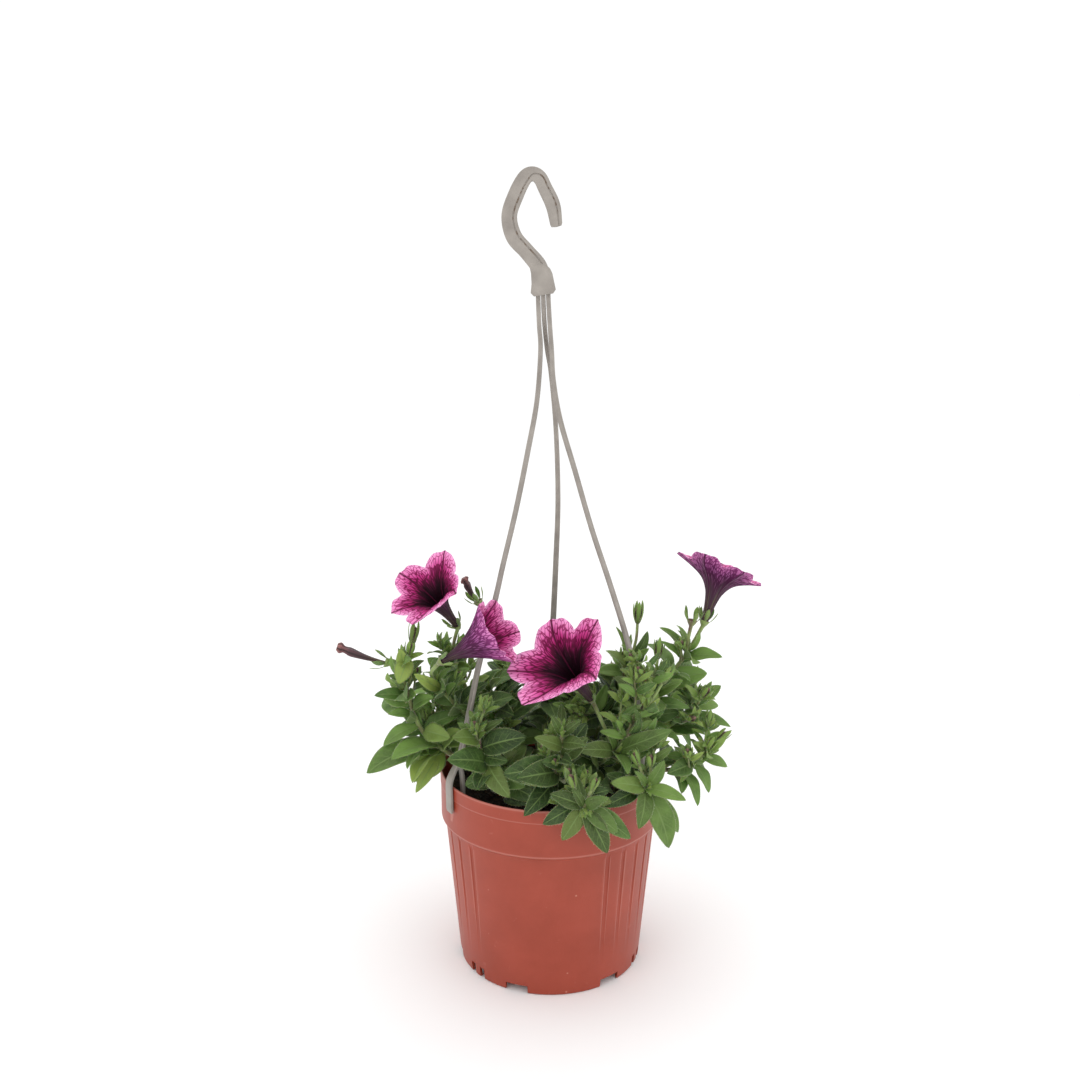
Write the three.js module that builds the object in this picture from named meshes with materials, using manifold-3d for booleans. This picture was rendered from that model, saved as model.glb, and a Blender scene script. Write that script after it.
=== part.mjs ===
// Petunia in a 14 cm hanging pot, with its three-legged clip-on hanger.
//
// Lengths are millimetres and angles are degrees. Everything is laid out round the pot: its axis
// is Z, its rim is at z = 0 and its front is -Y. At the end the group is moved so that the inside
// of the hook's crown, where the basket hangs, becomes the origin.

import * as THREE from 'three';
import { mergeVertices } from 'three/addons/utils/BufferGeometryUtils.js';
import Module from 'manifold-3d';

const wasm = await Module();
wasm.setup();

const GAP = 0.3; // between pieces that touch

// Pot
const RIM_RADIUS = 70;
const POT_HEIGHT = 127;
const WALL = 1.2;
const LIP_DEPTH = 8; // the band round the rim
const COLLAR_DEPTH = 30; // the plain upper part that the legs clip on
const BODY_RADIUS = 67.3; // just under the collar's step
const FOOT_RADIUS = 58.4;
const FOOT_WIDTH = 1.8;
const FLOOR_HEIGHT = 6.6; // top of the pot's floor above its feet
const CLIP_DEPTH = 13; // the clip holes' centres below the rim
const CLIP_HOLE_RADIUS = 2.1;
const LEG_ANGLES = { left: 210, right: 330, back: 90 };
const FLUTE_GROUPS = [301, 61, 181]; // where each row of five flutes starts
const FLUTE_PITCH = 10.6;
const DRAIN_ANGLES = [218.9, 338.9, 98.9];
const NOTCH_ANGLES = [248.9, 308.9, 8.9, 68.9, 128.9, 188.9];

// Soil
const SOIL_TOP = -15;
const ROOT_END = -33; // each stem's foot, at the bottom of its hole

// Hanger
const HOOK_DEPTH = 5.6;
const STRAP_WIDTH = 2.7;
const STRAP_THICKNESS = 2.2;
const STRAP_TOP = 302.6;
const PRONG_THICKNESS = 2;
const PRONG_LENGTH = 16.4; // how far the outer prongs reach below the rim
const CROWN = [-10.7, 0, 357.2]; // inside of the hook's crown

// Plant
const BLADE_THICKNESS = 0.9;
const PETAL_THICKNESS = 0.8;
const LEAF_CLEARANCE = 0.5; // kept round a leaf when its place is chosen
const GOLDEN_ANGLE = 137.5;
const FACE_UP = 0.6; // how much a leaf's face turns up, outwards and to the front
const FACE_OUTWARDS = 0.6;
const FACE_FRONT = 0.5;

const PLASTIC_RED = new THREE.MeshStandardMaterial({ color: '#a94c3a', roughness: 0.45, metalness: 0 });
const PLASTIC_GREY = new THREE.MeshStandardMaterial({ color: '#a39b93', roughness: 0.5, metalness: 0 });
const PEAT = new THREE.MeshStandardMaterial({ color: '#2b211b', roughness: 0.95, metalness: 0 });
const LEAF_GREEN = new THREE.MeshStandardMaterial({ color: '#4d7040', roughness: 0.6, metalness: 0 });
const PETAL_PINK = new THREE.MeshStandardMaterial({ color: '#b5538e', roughness: 0.6, metalness: 0 });
const PETAL_BROWN = new THREE.MeshStandardMaterial({ color: '#5a3a3a', roughness: 0.8, metalness: 0 });

// ---------------------------------------------------------------- vectors and solids

const radians = THREE.MathUtils.degToRad;
const vector = (point) => new THREE.Vector3(...point);

function polar(radius, angle, z) {
  return new THREE.Vector3(radius * Math.cos(radians(angle)), radius * Math.sin(radians(angle)), z);
}

function curve(points) {
  return new THREE.CatmullRomCurve3(points, false, 'catmullrom', 0.5);
}

// Two unit vectors across a direction: one level, the other as near upright as it can be.
function across(direction) {
  const level = new THREE.Vector3(-direction.y, direction.x, 0);
  if (level.lengthSq() < 1e-6) level.set(1, 0, 0);
  level.normalize();
  return [level, direction.clone().cross(level)];
}

// A three.js geometry, or points with faces, as a solid whose faces point outwards.
function solid(geometry) {
  const bare = geometry.clone();
  bare.deleteAttribute('normal');
  bare.deleteAttribute('uv');
  const merged = mergeVertices(bare, 1e-4);
  const points = merged.attributes.position.array;
  const faces = [];
  let volume = 0;
  for (let i = 0; i < merged.index.count; i += 3) {
    const [a, b, c] = merged.index.array.slice(i, i + 3);
    if (a === b || b === c || c === a) continue;
    faces.push([a, b, c]);
    const [p, q, r] = [a, b, c].map((k) => new THREE.Vector3().fromArray(points, 3 * k));
    volume += p.dot(q.cross(r));
  }
  if (volume < 0) faces.forEach((face) => face.reverse());
  const mesh = new wasm.Mesh({
    numProp: 3,
    vertProperties: new Float32Array(points),
    triVerts: new Uint32Array(faces.flat()),
  });
  return new wasm.Manifold(mesh);
}

// A closed skin over rings of equal count, with a fan from its start and its end point.
function skin(rings, start = middle(rings[0]), end = middle(rings.at(-1))) {
  const count = rings[0].length;
  const points = [...rings.flat(), start, end];
  const first = points.length - 2;
  const last = points.length - 1;
  const faces = [];
  for (let j = 0; j < count; j += 1) {
    const k = (j + 1) % count;
    faces.push(first, k, j);
    for (let i = 0; i + 1 < rings.length; i += 1) {
      const [a, b, c, d] = [i * count + j, i * count + k, (i + 1) * count + j, (i + 1) * count + k];
      faces.push(a, b, d, a, d, c);
    }
    const top = (rings.length - 1) * count;
    faces.push(last, top + j, top + k);
  }
  const geometry = new THREE.BufferGeometry().setFromPoints(points);
  geometry.setIndex(faces);
  return solid(geometry);
}

function middle(ring) {
  const sum = new THREE.Vector3();
  ring.forEach((point) => sum.add(point));
  return sum.divideScalar(ring.length);
}

// A ring of points: an outline of [side, up] pairs set round a centre.
function ring(centre, side, up, outline) {
  return outline.map(([a, b]) => centre.clone().addScaledVector(side, a).addScaledVector(up, b));
}

function circle(radius, count, turn = 0) {
  return Array.from({ length: count }, (_, k) => {
    const angle = radians(turn + (360 * k) / count);
    return [radius * Math.cos(angle), radius * Math.sin(angle)];
  });
}

function rectangle(width, height) {
  const [a, b] = [width / 2, height / 2];
  return [[-a, -b], [a, -b], [a, b], [-a, b]];
}

// The bodies as one, without any loose scrap that their crossing leaves.
function join(bodies) {
  const pieces = wasm.Manifold.union(bodies).decompose();
  return wasm.Manifold.union(pieces.filter((piece) => piece.volume() > 0.01));
}

function meshOf(name, body, material) {
  const { vertProperties, triVerts } = body.getMesh();
  const geometry = new THREE.BufferGeometry();
  geometry.setAttribute('position', new THREE.BufferAttribute(vertProperties, 3));
  geometry.setIndex(new THREE.BufferAttribute(triVerts, 1));
  const mesh = new THREE.Mesh(geometry, material);
  mesh.name = name;
  return mesh;
}

// ---------------------------------------------------------------- pot

// Outside of the tapered body, from the collar's step to the feet.
function bodyRadius(z) {
  const fall = (-z - COLLAR_DEPTH) / (POT_HEIGHT - COLLAR_DEPTH);
  return BODY_RADIUS - (BODY_RADIUS - FOOT_RADIUS) * fall;
}

function lathe(profile, segments) {
  const points = profile.map(([radius, z]) => new THREE.Vector2(radius, z));
  return new THREE.LatheGeometry(points, segments).rotateX(Math.PI / 2);
}

// A block that reaches radially through the wall, centred on an angle.
function radialBlock(angle, radius, reach, width, z, height) {
  const box = new THREE.BoxGeometry(reach, width, height);
  box.translate(radius, 0, z).rotateZ(radians(angle));
  return solid(box);
}

function radialPin(angle, from, to, z, radius) {
  const pin = new THREE.CylinderGeometry(radius, radius, to - from, 8);
  pin.rotateZ(Math.PI / 2).translate((from + to) / 2, 0, z).rotateZ(radians(angle));
  return solid(pin);
}

function flute(angle) {
  const width = 3;
  const depth = 0.5;
  const side = polar(1, angle + 90, 0);
  const outward = polar(1, angle, 0);
  const rings = [-COLLAR_DEPTH - 4, -POT_HEIGHT + 14].map((z) =>
    ring(polar(bodyRadius(z) + 0.5, angle, z), side, outward, rectangle(width, 2 * depth + 1)),
  );
  return skin(rings);
}

function makePot() {
  const floorTop = -POT_HEIGHT + FLOOR_HEIGHT;
  const floorUnder = floorTop - 1.4;
  const collar = RIM_RADIUS - 0.3;
  const step = -COLLAR_DEPTH - 2;
  const outside = [
    [bodyRadius(-POT_HEIGHT), -POT_HEIGHT],
    [bodyRadius(step), step],
    [collar, -COLLAR_DEPTH],
    [collar, -LIP_DEPTH - 0.6],
    [RIM_RADIUS, -LIP_DEPTH],
    [RIM_RADIUS, -0.5],
    [RIM_RADIUS - 0.4, 0],
  ];
  const inside = [
    [RIM_RADIUS - WALL, 0],
    [collar - WALL, -LIP_DEPTH],
    [collar - WALL, -COLLAR_DEPTH],
    [bodyRadius(step) - WALL, step],
    [bodyRadius(floorTop) - WALL, floorTop],
    [0, floorTop],
  ];
  const underside = [
    [0, floorUnder],
    [bodyRadius(floorUnder) - 1.6, floorUnder],
    [FOOT_RADIUS - FOOT_WIDTH, -POT_HEIGHT],
  ];
  let body = solid(lathe([...underside, ...outside, ...inside], 44));

  for (const start of FLUTE_GROUPS) {
    for (let k = 0; k < 5; k += 1) body = body.subtract(flute(start + k * FLUTE_PITCH));
  }
  for (const angle of NOTCH_ANGLES) {
    body = body.subtract(radialBlock(angle, FOOT_RADIUS, 8, 14.5, -POT_HEIGHT + 1.5, 7));
  }
  for (const angle of DRAIN_ANGLES) {
    for (const turn of [-4.3, 4.3]) {
      body = body.subtract(radialBlock(angle + turn, FOOT_RADIUS, 8, 4.2, -POT_HEIGHT + 3, 8));
    }
  }
  for (const angle of Object.values(LEG_ANGLES)) {
    body = body.subtract(radialPin(angle, RIM_RADIUS - 5, RIM_RADIUS + 3, -CLIP_DEPTH, CLIP_HOLE_RADIUS));
  }
  return body;
}

// ---------------------------------------------------------------- soil

function makeSoil(feet) {
  const step = -COLLAR_DEPTH - 2;
  const bottom = -POT_HEIGHT + FLOOR_HEIGHT + GAP;
  const gap = WALL + GAP;
  const top = [0, 21, 41, 59].map((radius) => [radius, SOIL_TOP - (radius / 59) ** 2]);
  const profile = [
    ...top,
    [RIM_RADIUS - 0.3 - gap, SOIL_TOP - 2.5],
    [RIM_RADIUS - 0.3 - gap, -COLLAR_DEPTH + GAP],
    [bodyRadius(step) - gap, step + GAP],
    [bodyRadius(bottom) - gap, bottom],
    [0, bottom],
  ];
  const geometry = lathe(profile, 24);
  const position = geometry.attributes.position;
  for (let i = 0; i < position.count; i += 1) {
    const [x, y, z] = [position.getX(i), position.getY(i), position.getZ(i)];
    if (z < SOIL_TOP - 2) continue;
    position.setZ(i, z + 0.8 * Math.sin(0.31 * x + 0.17 * y) + 0.6 * Math.sin(0.43 * y - 0.2 * x));
  }
  let body = solid(geometry);
  for (const { foot, radius } of feet) {
    const hole = circle(radius + 2 * GAP, 6);
    const [side, up] = [vector([1, 0, 0]), vector([0, 1, 0])];
    const ends = [ROOT_END - GAP, SOIL_TOP + 6];
    body = body.subtract(skin(ends.map((z) => ring(vector([foot.x, foot.y, z]), side, up, hole))));
  }
  return body;
}

// ---------------------------------------------------------------- hanger

// The hook is a moulded band with a groove along its front and back, from its tip to its skirt:
// [x, z, half its width] along the band.
const HOOK_BAND = [
  [3.1, 332.2, 3.4], [1.0, 343.7, 4.2], [-3.6, 353.4, 4.1], [-6.7, 359.2, 4.0], [-10.9, 361.2, 4.0],
  [-15.2, 359.0, 4.2], [-20.0, 350.4, 4.5], [-24.2, 338.2, 4.5], [-21.7, 326.6, 4.75],
  [-14.6, 318.4, 4.6], [-8.4, 311.3, 4.9], [-6.2, 306.8, 5.0], [-5.2, 302.8, 5.0],
];

function makeHook() {
  const line = curve(HOOK_BAND.map(([x, z]) => vector([x, 0, z])));
  const widths = curve(HOOK_BAND.map(([, , half]) => vector([half, 0, 0])));
  const steps = 26;
  const back = vector([0, 1, 0]);
  const rings = Array.from({ length: steps + 1 }, (_, k) => {
    const tangent = line.getTangent(k / steps);
    const half = widths.getPoint(k / steps).x;
    const [lip, face, floor] = [half * 0.52, HOOK_DEPTH / 2, HOOK_DEPTH / 2 - 0.9];
    const edge = [[-half, -face], [-lip, -face], [-lip, -floor]];
    const outline = [...edge, ...edge.map(([a, b]) => [-a, b]).reverse()];
    const mirrored = outline.map(([a, b]) => [-a, -b]);
    return ring(line.getPoint(k / steps), tangent.clone().cross(back), back, [...outline, ...mirrored]);
  });

  // The skirt that covers the legs' heads is lower on its left: [middle x, z, width, depth, tilt]
  const skirt = [
    [-7.9, 310.7, 10.0, 5.2, 0],
    [-6.5, 308.4, 11.8, 5.9, 0],
    [-5.5, 305.6, 12.5, 6.8, 0],
    [-4.8, 300, 13.3, 7.7, 0.8],
    [-4.6, 295.4, 14.7, 8.2, 2],
    [-4.5, 293.3, 11.4, 7.2, 1.7],
  ];
  const skirtRings = skirt.map(([x, z, width, depth, tilt]) =>
    rectangle(width, depth).map(([a, b]) => vector([x + a, b, z + (tilt * a) / width])),
  );
  const pocket = new THREE.BoxGeometry(3 * STRAP_WIDTH + 4 * GAP, STRAP_THICKNESS + 2 * GAP, 20);
  pocket.translate(-4.6, 0, STRAP_TOP + GAP - 10);
  return join([skin(rings), skin(skirtRings)]).subtract(solid(pocket));
}

// The legs' centre lines, from their heads in the skirt down to where they fork over the rim.
const LEG_LINES = {
  left: [
    [-7.6, 0, STRAP_TOP], [-7.6, 0, 292], [-7, -1, 276], [-6.2, -2.4, 261], [-8.3, -5, 232],
    [-13.6, -9, 203], [-20.8, -14, 168], [-28.7, -18, 135], [-33.5, -21, 114], [-42.7, -26, 78],
    [-48, -29, 53], [-53, -31.2, 28],
  ],
  right: [
    [-1.6, 0, STRAP_TOP], [-1.6, 0, 292], [-0.7, -1.2, 276], [0.4, -2.8, 261], [1.4, -4, 244],
    [5.4, -6, 221], [14.3, -10, 191], [24.6, -15, 156], [36.7, -20, 120], [47.8, -25.5, 83],
    [53, -29.5, 48], [55, -31.2, 28],
  ],
  back: [
    [-4.6, 0, STRAP_TOP], [-4.6, 0, 292], [-3.8, 1.4, 276], [-2.2, 3.2, 261], [0.1, 5, 247],
    [3.3, 15, 212], [4.9, 30, 166], [3.9, 42, 124], [2.4, 52, 82], [1, 59, 48], [0.3, 62.8, 28],
  ],
};
const FORK_ROOT = [65.4, 14]; // radius and height where the two prongs part

function makeLeg(name) {
  const angle = LEG_ANGLES[name];
  const root = polar(FORK_ROOT[0], angle, FORK_ROOT[1]);
  const line = curve([...LEG_LINES[name].map(vector), root]);
  const tangential = polar(1, angle + 90, 0);
  if (tangential.x < 0) tangential.negate();
  const steps = 16;
  const rings = Array.from({ length: steps + 1 }, (_, k) => {
    const t = k / steps;
    const turned = THREE.MathUtils.smoothstep(t, 0.15, 0.6);
    const side = vector([1, 0, 0]).lerp(tangential, turned);
    const tangent = line.getTangent(t);
    side.addScaledVector(tangent, -side.dot(tangent)).normalize();
    const width = STRAP_WIDTH + 1.9 * THREE.MathUtils.smoothstep(t, 0.3, 1);
    return ring(line.getPoint(t), side, tangent.clone().cross(side), rectangle(width, STRAP_THICKNESS));
  });

  const outer = [FORK_ROOT, [68.6, 9], [RIM_RADIUS + GAP + PRONG_THICKNESS / 2, 2.5]];
  outer.push([outer[2][0], -7], [outer[2][0], -PRONG_LENGTH]);
  const inner = [FORK_ROOT, [63.2, 9], [62.4, 2.5], [62.4, -8.5]];
  const prong = (points, endWidth) => {
    const path = curve(points.map(([radius, z]) => polar(radius, angle, z)));
    const turns = 6;
    const sections = Array.from({ length: turns + 1 }, (_, k) => {
      const tangent = path.getTangent(k / turns);
      const width = THREE.MathUtils.lerp(4.6, endWidth, Math.min(1, (1.6 * k) / turns));
      const outward = tangent.clone().cross(tangential);
      return ring(path.getPoint(k / turns), tangential, outward, rectangle(width, PRONG_THICKNESS));
    });
    return skin(sections);
  };
  const pegRadius = CLIP_HOLE_RADIUS - GAP - 0.1;
  const peg = radialPin(angle, RIM_RADIUS - WALL - 0.6, RIM_RADIUS + 1, -CLIP_DEPTH, pegRadius);
  return join([skin(rings), prong(outer, 7), prong(inner, 4.4), peg]);
}

// ---------------------------------------------------------------- leaves and flowers

// Which way a leaf's face turns: up, outwards from the pot's axis and a little to the front.
function leafFace(base, direction) {
  const face = new THREE.Vector3(base.x, base.y, 0).normalize().multiplyScalar(FACE_OUTWARDS);
  face.add(vector([0, -FACE_FRONT, FACE_UP]));
  return face.addScaledVector(direction, -face.dot(direction)).normalize();
}

// A leaf or bract: a thin lens with pointed ends, folded along its midrib and arched towards its
// face. Small ones have one cross-section, larger ones two.
function blade({ base, tip, width, arch = 0.12, fold = 22 }, extra = 0) {
  const chord = tip.clone().sub(base);
  const length = chord.length();
  const direction = chord.clone().normalize();
  const up = leafFace(base, direction);
  const side = up.clone().cross(direction);
  const crest = base.clone().add(tip).multiplyScalar(0.5).addScaledVector(up, 2 * arch * length);
  const line = new THREE.QuadraticBezierCurve3(base, crest, tip);
  const rows = length > 15 ? [[0.34, 0.95], [0.68, 0.82]] : [[0.5, 1]];
  const rings = rows.map(([t, share]) => {
    const half = (share * width) / 2 + extra;
    const lift = half * Math.sin(radians(fold));
    const spread = half * Math.cos(radians(fold));
    const raised = line.getTangent(t).cross(side);
    const thick = BLADE_THICKNESS / 2 + extra;
    const outline = [[-spread, lift], [0, -thick], [spread, lift], [0, thick]];
    return ring(line.getPoint(t), side, raised, outline);
  });
  return skin(rings, base, tip.clone().addScaledVector(direction, extra));
}

// Rings along a tapering branch, whose radius runs from one end's to the other's.
function branchRings(line, startRadius, endRadius, steps) {
  return Array.from({ length: steps + 1 }, (_, k) => {
    const [side, up] = across(line.getTangent(k / steps));
    const radius = THREE.MathUtils.lerp(startRadius, endRadius, k / steps);
    return ring(line.getPoint(k / steps), side, up, circle(radius, 4));
  });
}

// A main stem, upright in the soil and then along its line in straight runs.
function mainStem(line) {
  const foot = line.getPoint(0);
  const [side, up] = across(vector([0, 0, 1]));
  const section = circle(STEM_RADIUS, 4);
  const upright = [ROOT_END, foot.z].map((z) => ring(foot.clone().setZ(z), side, up, section));
  return skin([...upright, ...branchRings(line, STEM_RADIUS, 1, STEM_RUNS).slice(1)]);
}

// The point at a share of a main stem's length, on the middle of its run.
function stemPoint(line, share) {
  const run = Math.min(Math.floor(share * STEM_RUNS), STEM_RUNS - 1);
  const [start, end] = [run, run + 1].map((k) => line.getPoint(k / STEM_RUNS));
  return start.lerp(end, share * STEM_RUNS - run);
}

// The calyx at the end of a stalk: a small cup whose rim runs out into five pointed sepals.
// Its inside is flat at the seat, where the flower stands.
function calyx(seat, direction, length, spread) {
  const [side, up] = across(direction);
  const level = (height) => seat.clone().addScaledVector(direction, height);
  const outline = circle(1, 10);
  const sepal = (k) => k % 2 === 0;
  const rim = outline.map(([a, b], k) => {
    const reach = sepal(k) ? spread : 3.5;
    return level(sepal(k) ? length : 1.2).addScaledVector(side, a * reach).addScaledVector(up, b * reach);
  });
  const cup = outline.map(([a, b]) => [1.1 * a, 1.1 * b]);
  const inside = outline.map(([a, b]) => [2.9 * a, 2.9 * b]);
  return skin([ring(level(-2.6), side, up, cup), rim, ring(level(0), side, up, inside)]);
}

// A stalk that ends in a bud, which its sepals still hold closed.
function budStalk(line, length) {
  const seat = line.getPoint(1);
  const direction = line.getTangent(1);
  const [side, up] = across(direction);
  const rows = [[0.12, 1.6], [0.7, 1.9]];
  const rings = rows.map(([t, radius]) =>
    ring(seat.clone().addScaledVector(direction, t * length), side, up, circle(radius, 4)),
  );
  const stalk = branchRings(line, STALK_RADIUS, STALK_RADIUS, 3);
  return skin([...stalk, ...rings], stalk[0][0], seat.clone().addScaledVector(direction, length));
}

// The corolla: one thin trumpet of five fused petals, flared and waved at its edge.
// Each row is [height, radius] as shares of its length and of the bloom's radius.
const TRUMPET = [[0, 0.075], [0.3, 0.12], [0.55, 0.21], [0.74, 0.38], [0.88, 0.66], [1, 1]];
const WIDE_TRUMPET = [[0, 0.075], [0.25, 0.15], [0.5, 0.33], [0.72, 0.56], [0.88, 0.79], [1, 1]];
const PETAL_EDGE = [1.02, 0.92, 0.73, 0.92]; // the edge's reach, from a petal's middle round to the next
const PETAL_WAVE = [-0.05, -0.03, -0.14, -0.03]; // and its height

function corolla({ seat, mouth, radius, spin, petals, profile = TRUMPET }) {
  const axis = mouth.clone().sub(seat);
  const length = axis.length() - GAP;
  axis.normalize();
  const [side, up] = across(axis);
  const foot = seat.clone().addScaledVector(axis, GAP);
  const row = ([height, spread], inset) => Array.from({ length: 20 }, (_, k) => {
    const weight = spread ** 2;
    const along = THREE.MathUtils.smoothstep((k % 4) / 4, 0, 1);
    const next = petals[(Math.floor(k / 4) + 1) % 5];
    const [turn, stretch, bend] = petals[Math.floor(k / 4)].map((value, i) => (
      THREE.MathUtils.lerp(value, next[i], along)));
    const reach = radius * spread * (1 + (PETAL_EDGE[k % 4] * stretch - 1) * weight) - inset;
    const rise = length * height + (PETAL_WAVE[k % 4] + bend) * radius * weight;
    const angle = radians(spin + 18 * k + turn * weight);
    return foot.clone().addScaledVector(axis, rise)
      .addScaledVector(side, reach * Math.cos(angle)).addScaledVector(up, reach * Math.sin(angle));
  });
  const outside = profile.map((entry) => row(entry, 0));
  const lining = profile.slice(1, -1).reverse();
  const inside = lining.map(([height, spread]) => row([height + 0.035, spread], PETAL_THICKNESS));
  const throat = foot.clone().addScaledVector(axis, 0.2 * length);
  return skin([...outside, ...inside], foot, throat);
}

// A spent bloom: the trumpet has collapsed into a limp, creased tube.
function withered({ seat, mouth, radius }) {
  const axis = mouth.clone().sub(seat);
  const length = axis.length();
  axis.normalize();
  const [side, up] = across(axis);
  const rows = [[GAP / length, 0.3], [0.3, 0.45], [0.6, 0.75], [0.85, 1], [0.97, 0.55]];
  const rings = rows.map(([t, share], i) => {
    const outline = circle(share * radius, 8).map(([a, b], k) => {
      const crease = k % 2 ? 0.62 : 1;
      return [a * crease, b * crease * 0.85];
    });
    const sway = i > 0 ? -0.7 * Math.sin(4 * t) : 0;
    const centre = seat.clone().addScaledVector(axis, t * length).addScaledVector(up, sway);
    return ring(centre, side, up, outline);
  });
  return skin(rings);
}

// Each bloom's petals in turn: how far each is turned, in degrees, its reach, and how far its tip
// bends forward, both as shares of the radius.
const BLOOMS = {
  bloom_left: {
    seat: [-58, -1, 92], mouth: [-75, -18.5, 122], radius: 26.5, spin: 27,
    petals: [[-25, 0.94, 0.01], [3, 1.02, 0.09], [2, 1.03, 0.1], [-1, 0.98, 0], [-22, 1.08, 0.02]],
  },
  bloom_side: {
    seat: [-65, -38, 81], mouth: [-29, -49.5, 103.5], radius: 22.5, spin: 50, profile: WIDE_TRUMPET,
    petals: [[-5, 0.98, 0.01], [-4, 0.99, 0.09], [4, 0.97, 0.21], [1, 0.87, -0.03], [3, 1.01, 0.05]],
  },
  bloom_front: {
    seat: [24.5, -32, 55], mouth: [5, -51, 88], radius: 32, spin: 3,
    petals: [[-13, 0.99, -0.01], [3, 0.98, 0.02], [-9, 1.02, 0.04], [-3, 1.04, 0.1], [-22, 1.12, 0.1]],
  },
  bloom_right: {
    seat: [95.5, -1, 94], mouth: [107, 6, 130], radius: 29, spin: 29,
    petals: [[2, 1.03, -0.03], [13, 0.97, 0.12], [-7, 0.98, 0.02], [3, 0.96, -0.16], [2, 1, 0.06]],
  },
};
const SPENT_BLOOMS = {
  spent_bloom_left: { seat: [-100, -18, 73.5], mouth: [-130, -20, 84], radius: 3.4 },
  spent_bloom_centre: { seat: [-44.5, 2, 106], mouth: [-54, 0, 122], radius: 3.2 },
};

// ---------------------------------------------------------------- stems

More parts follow.
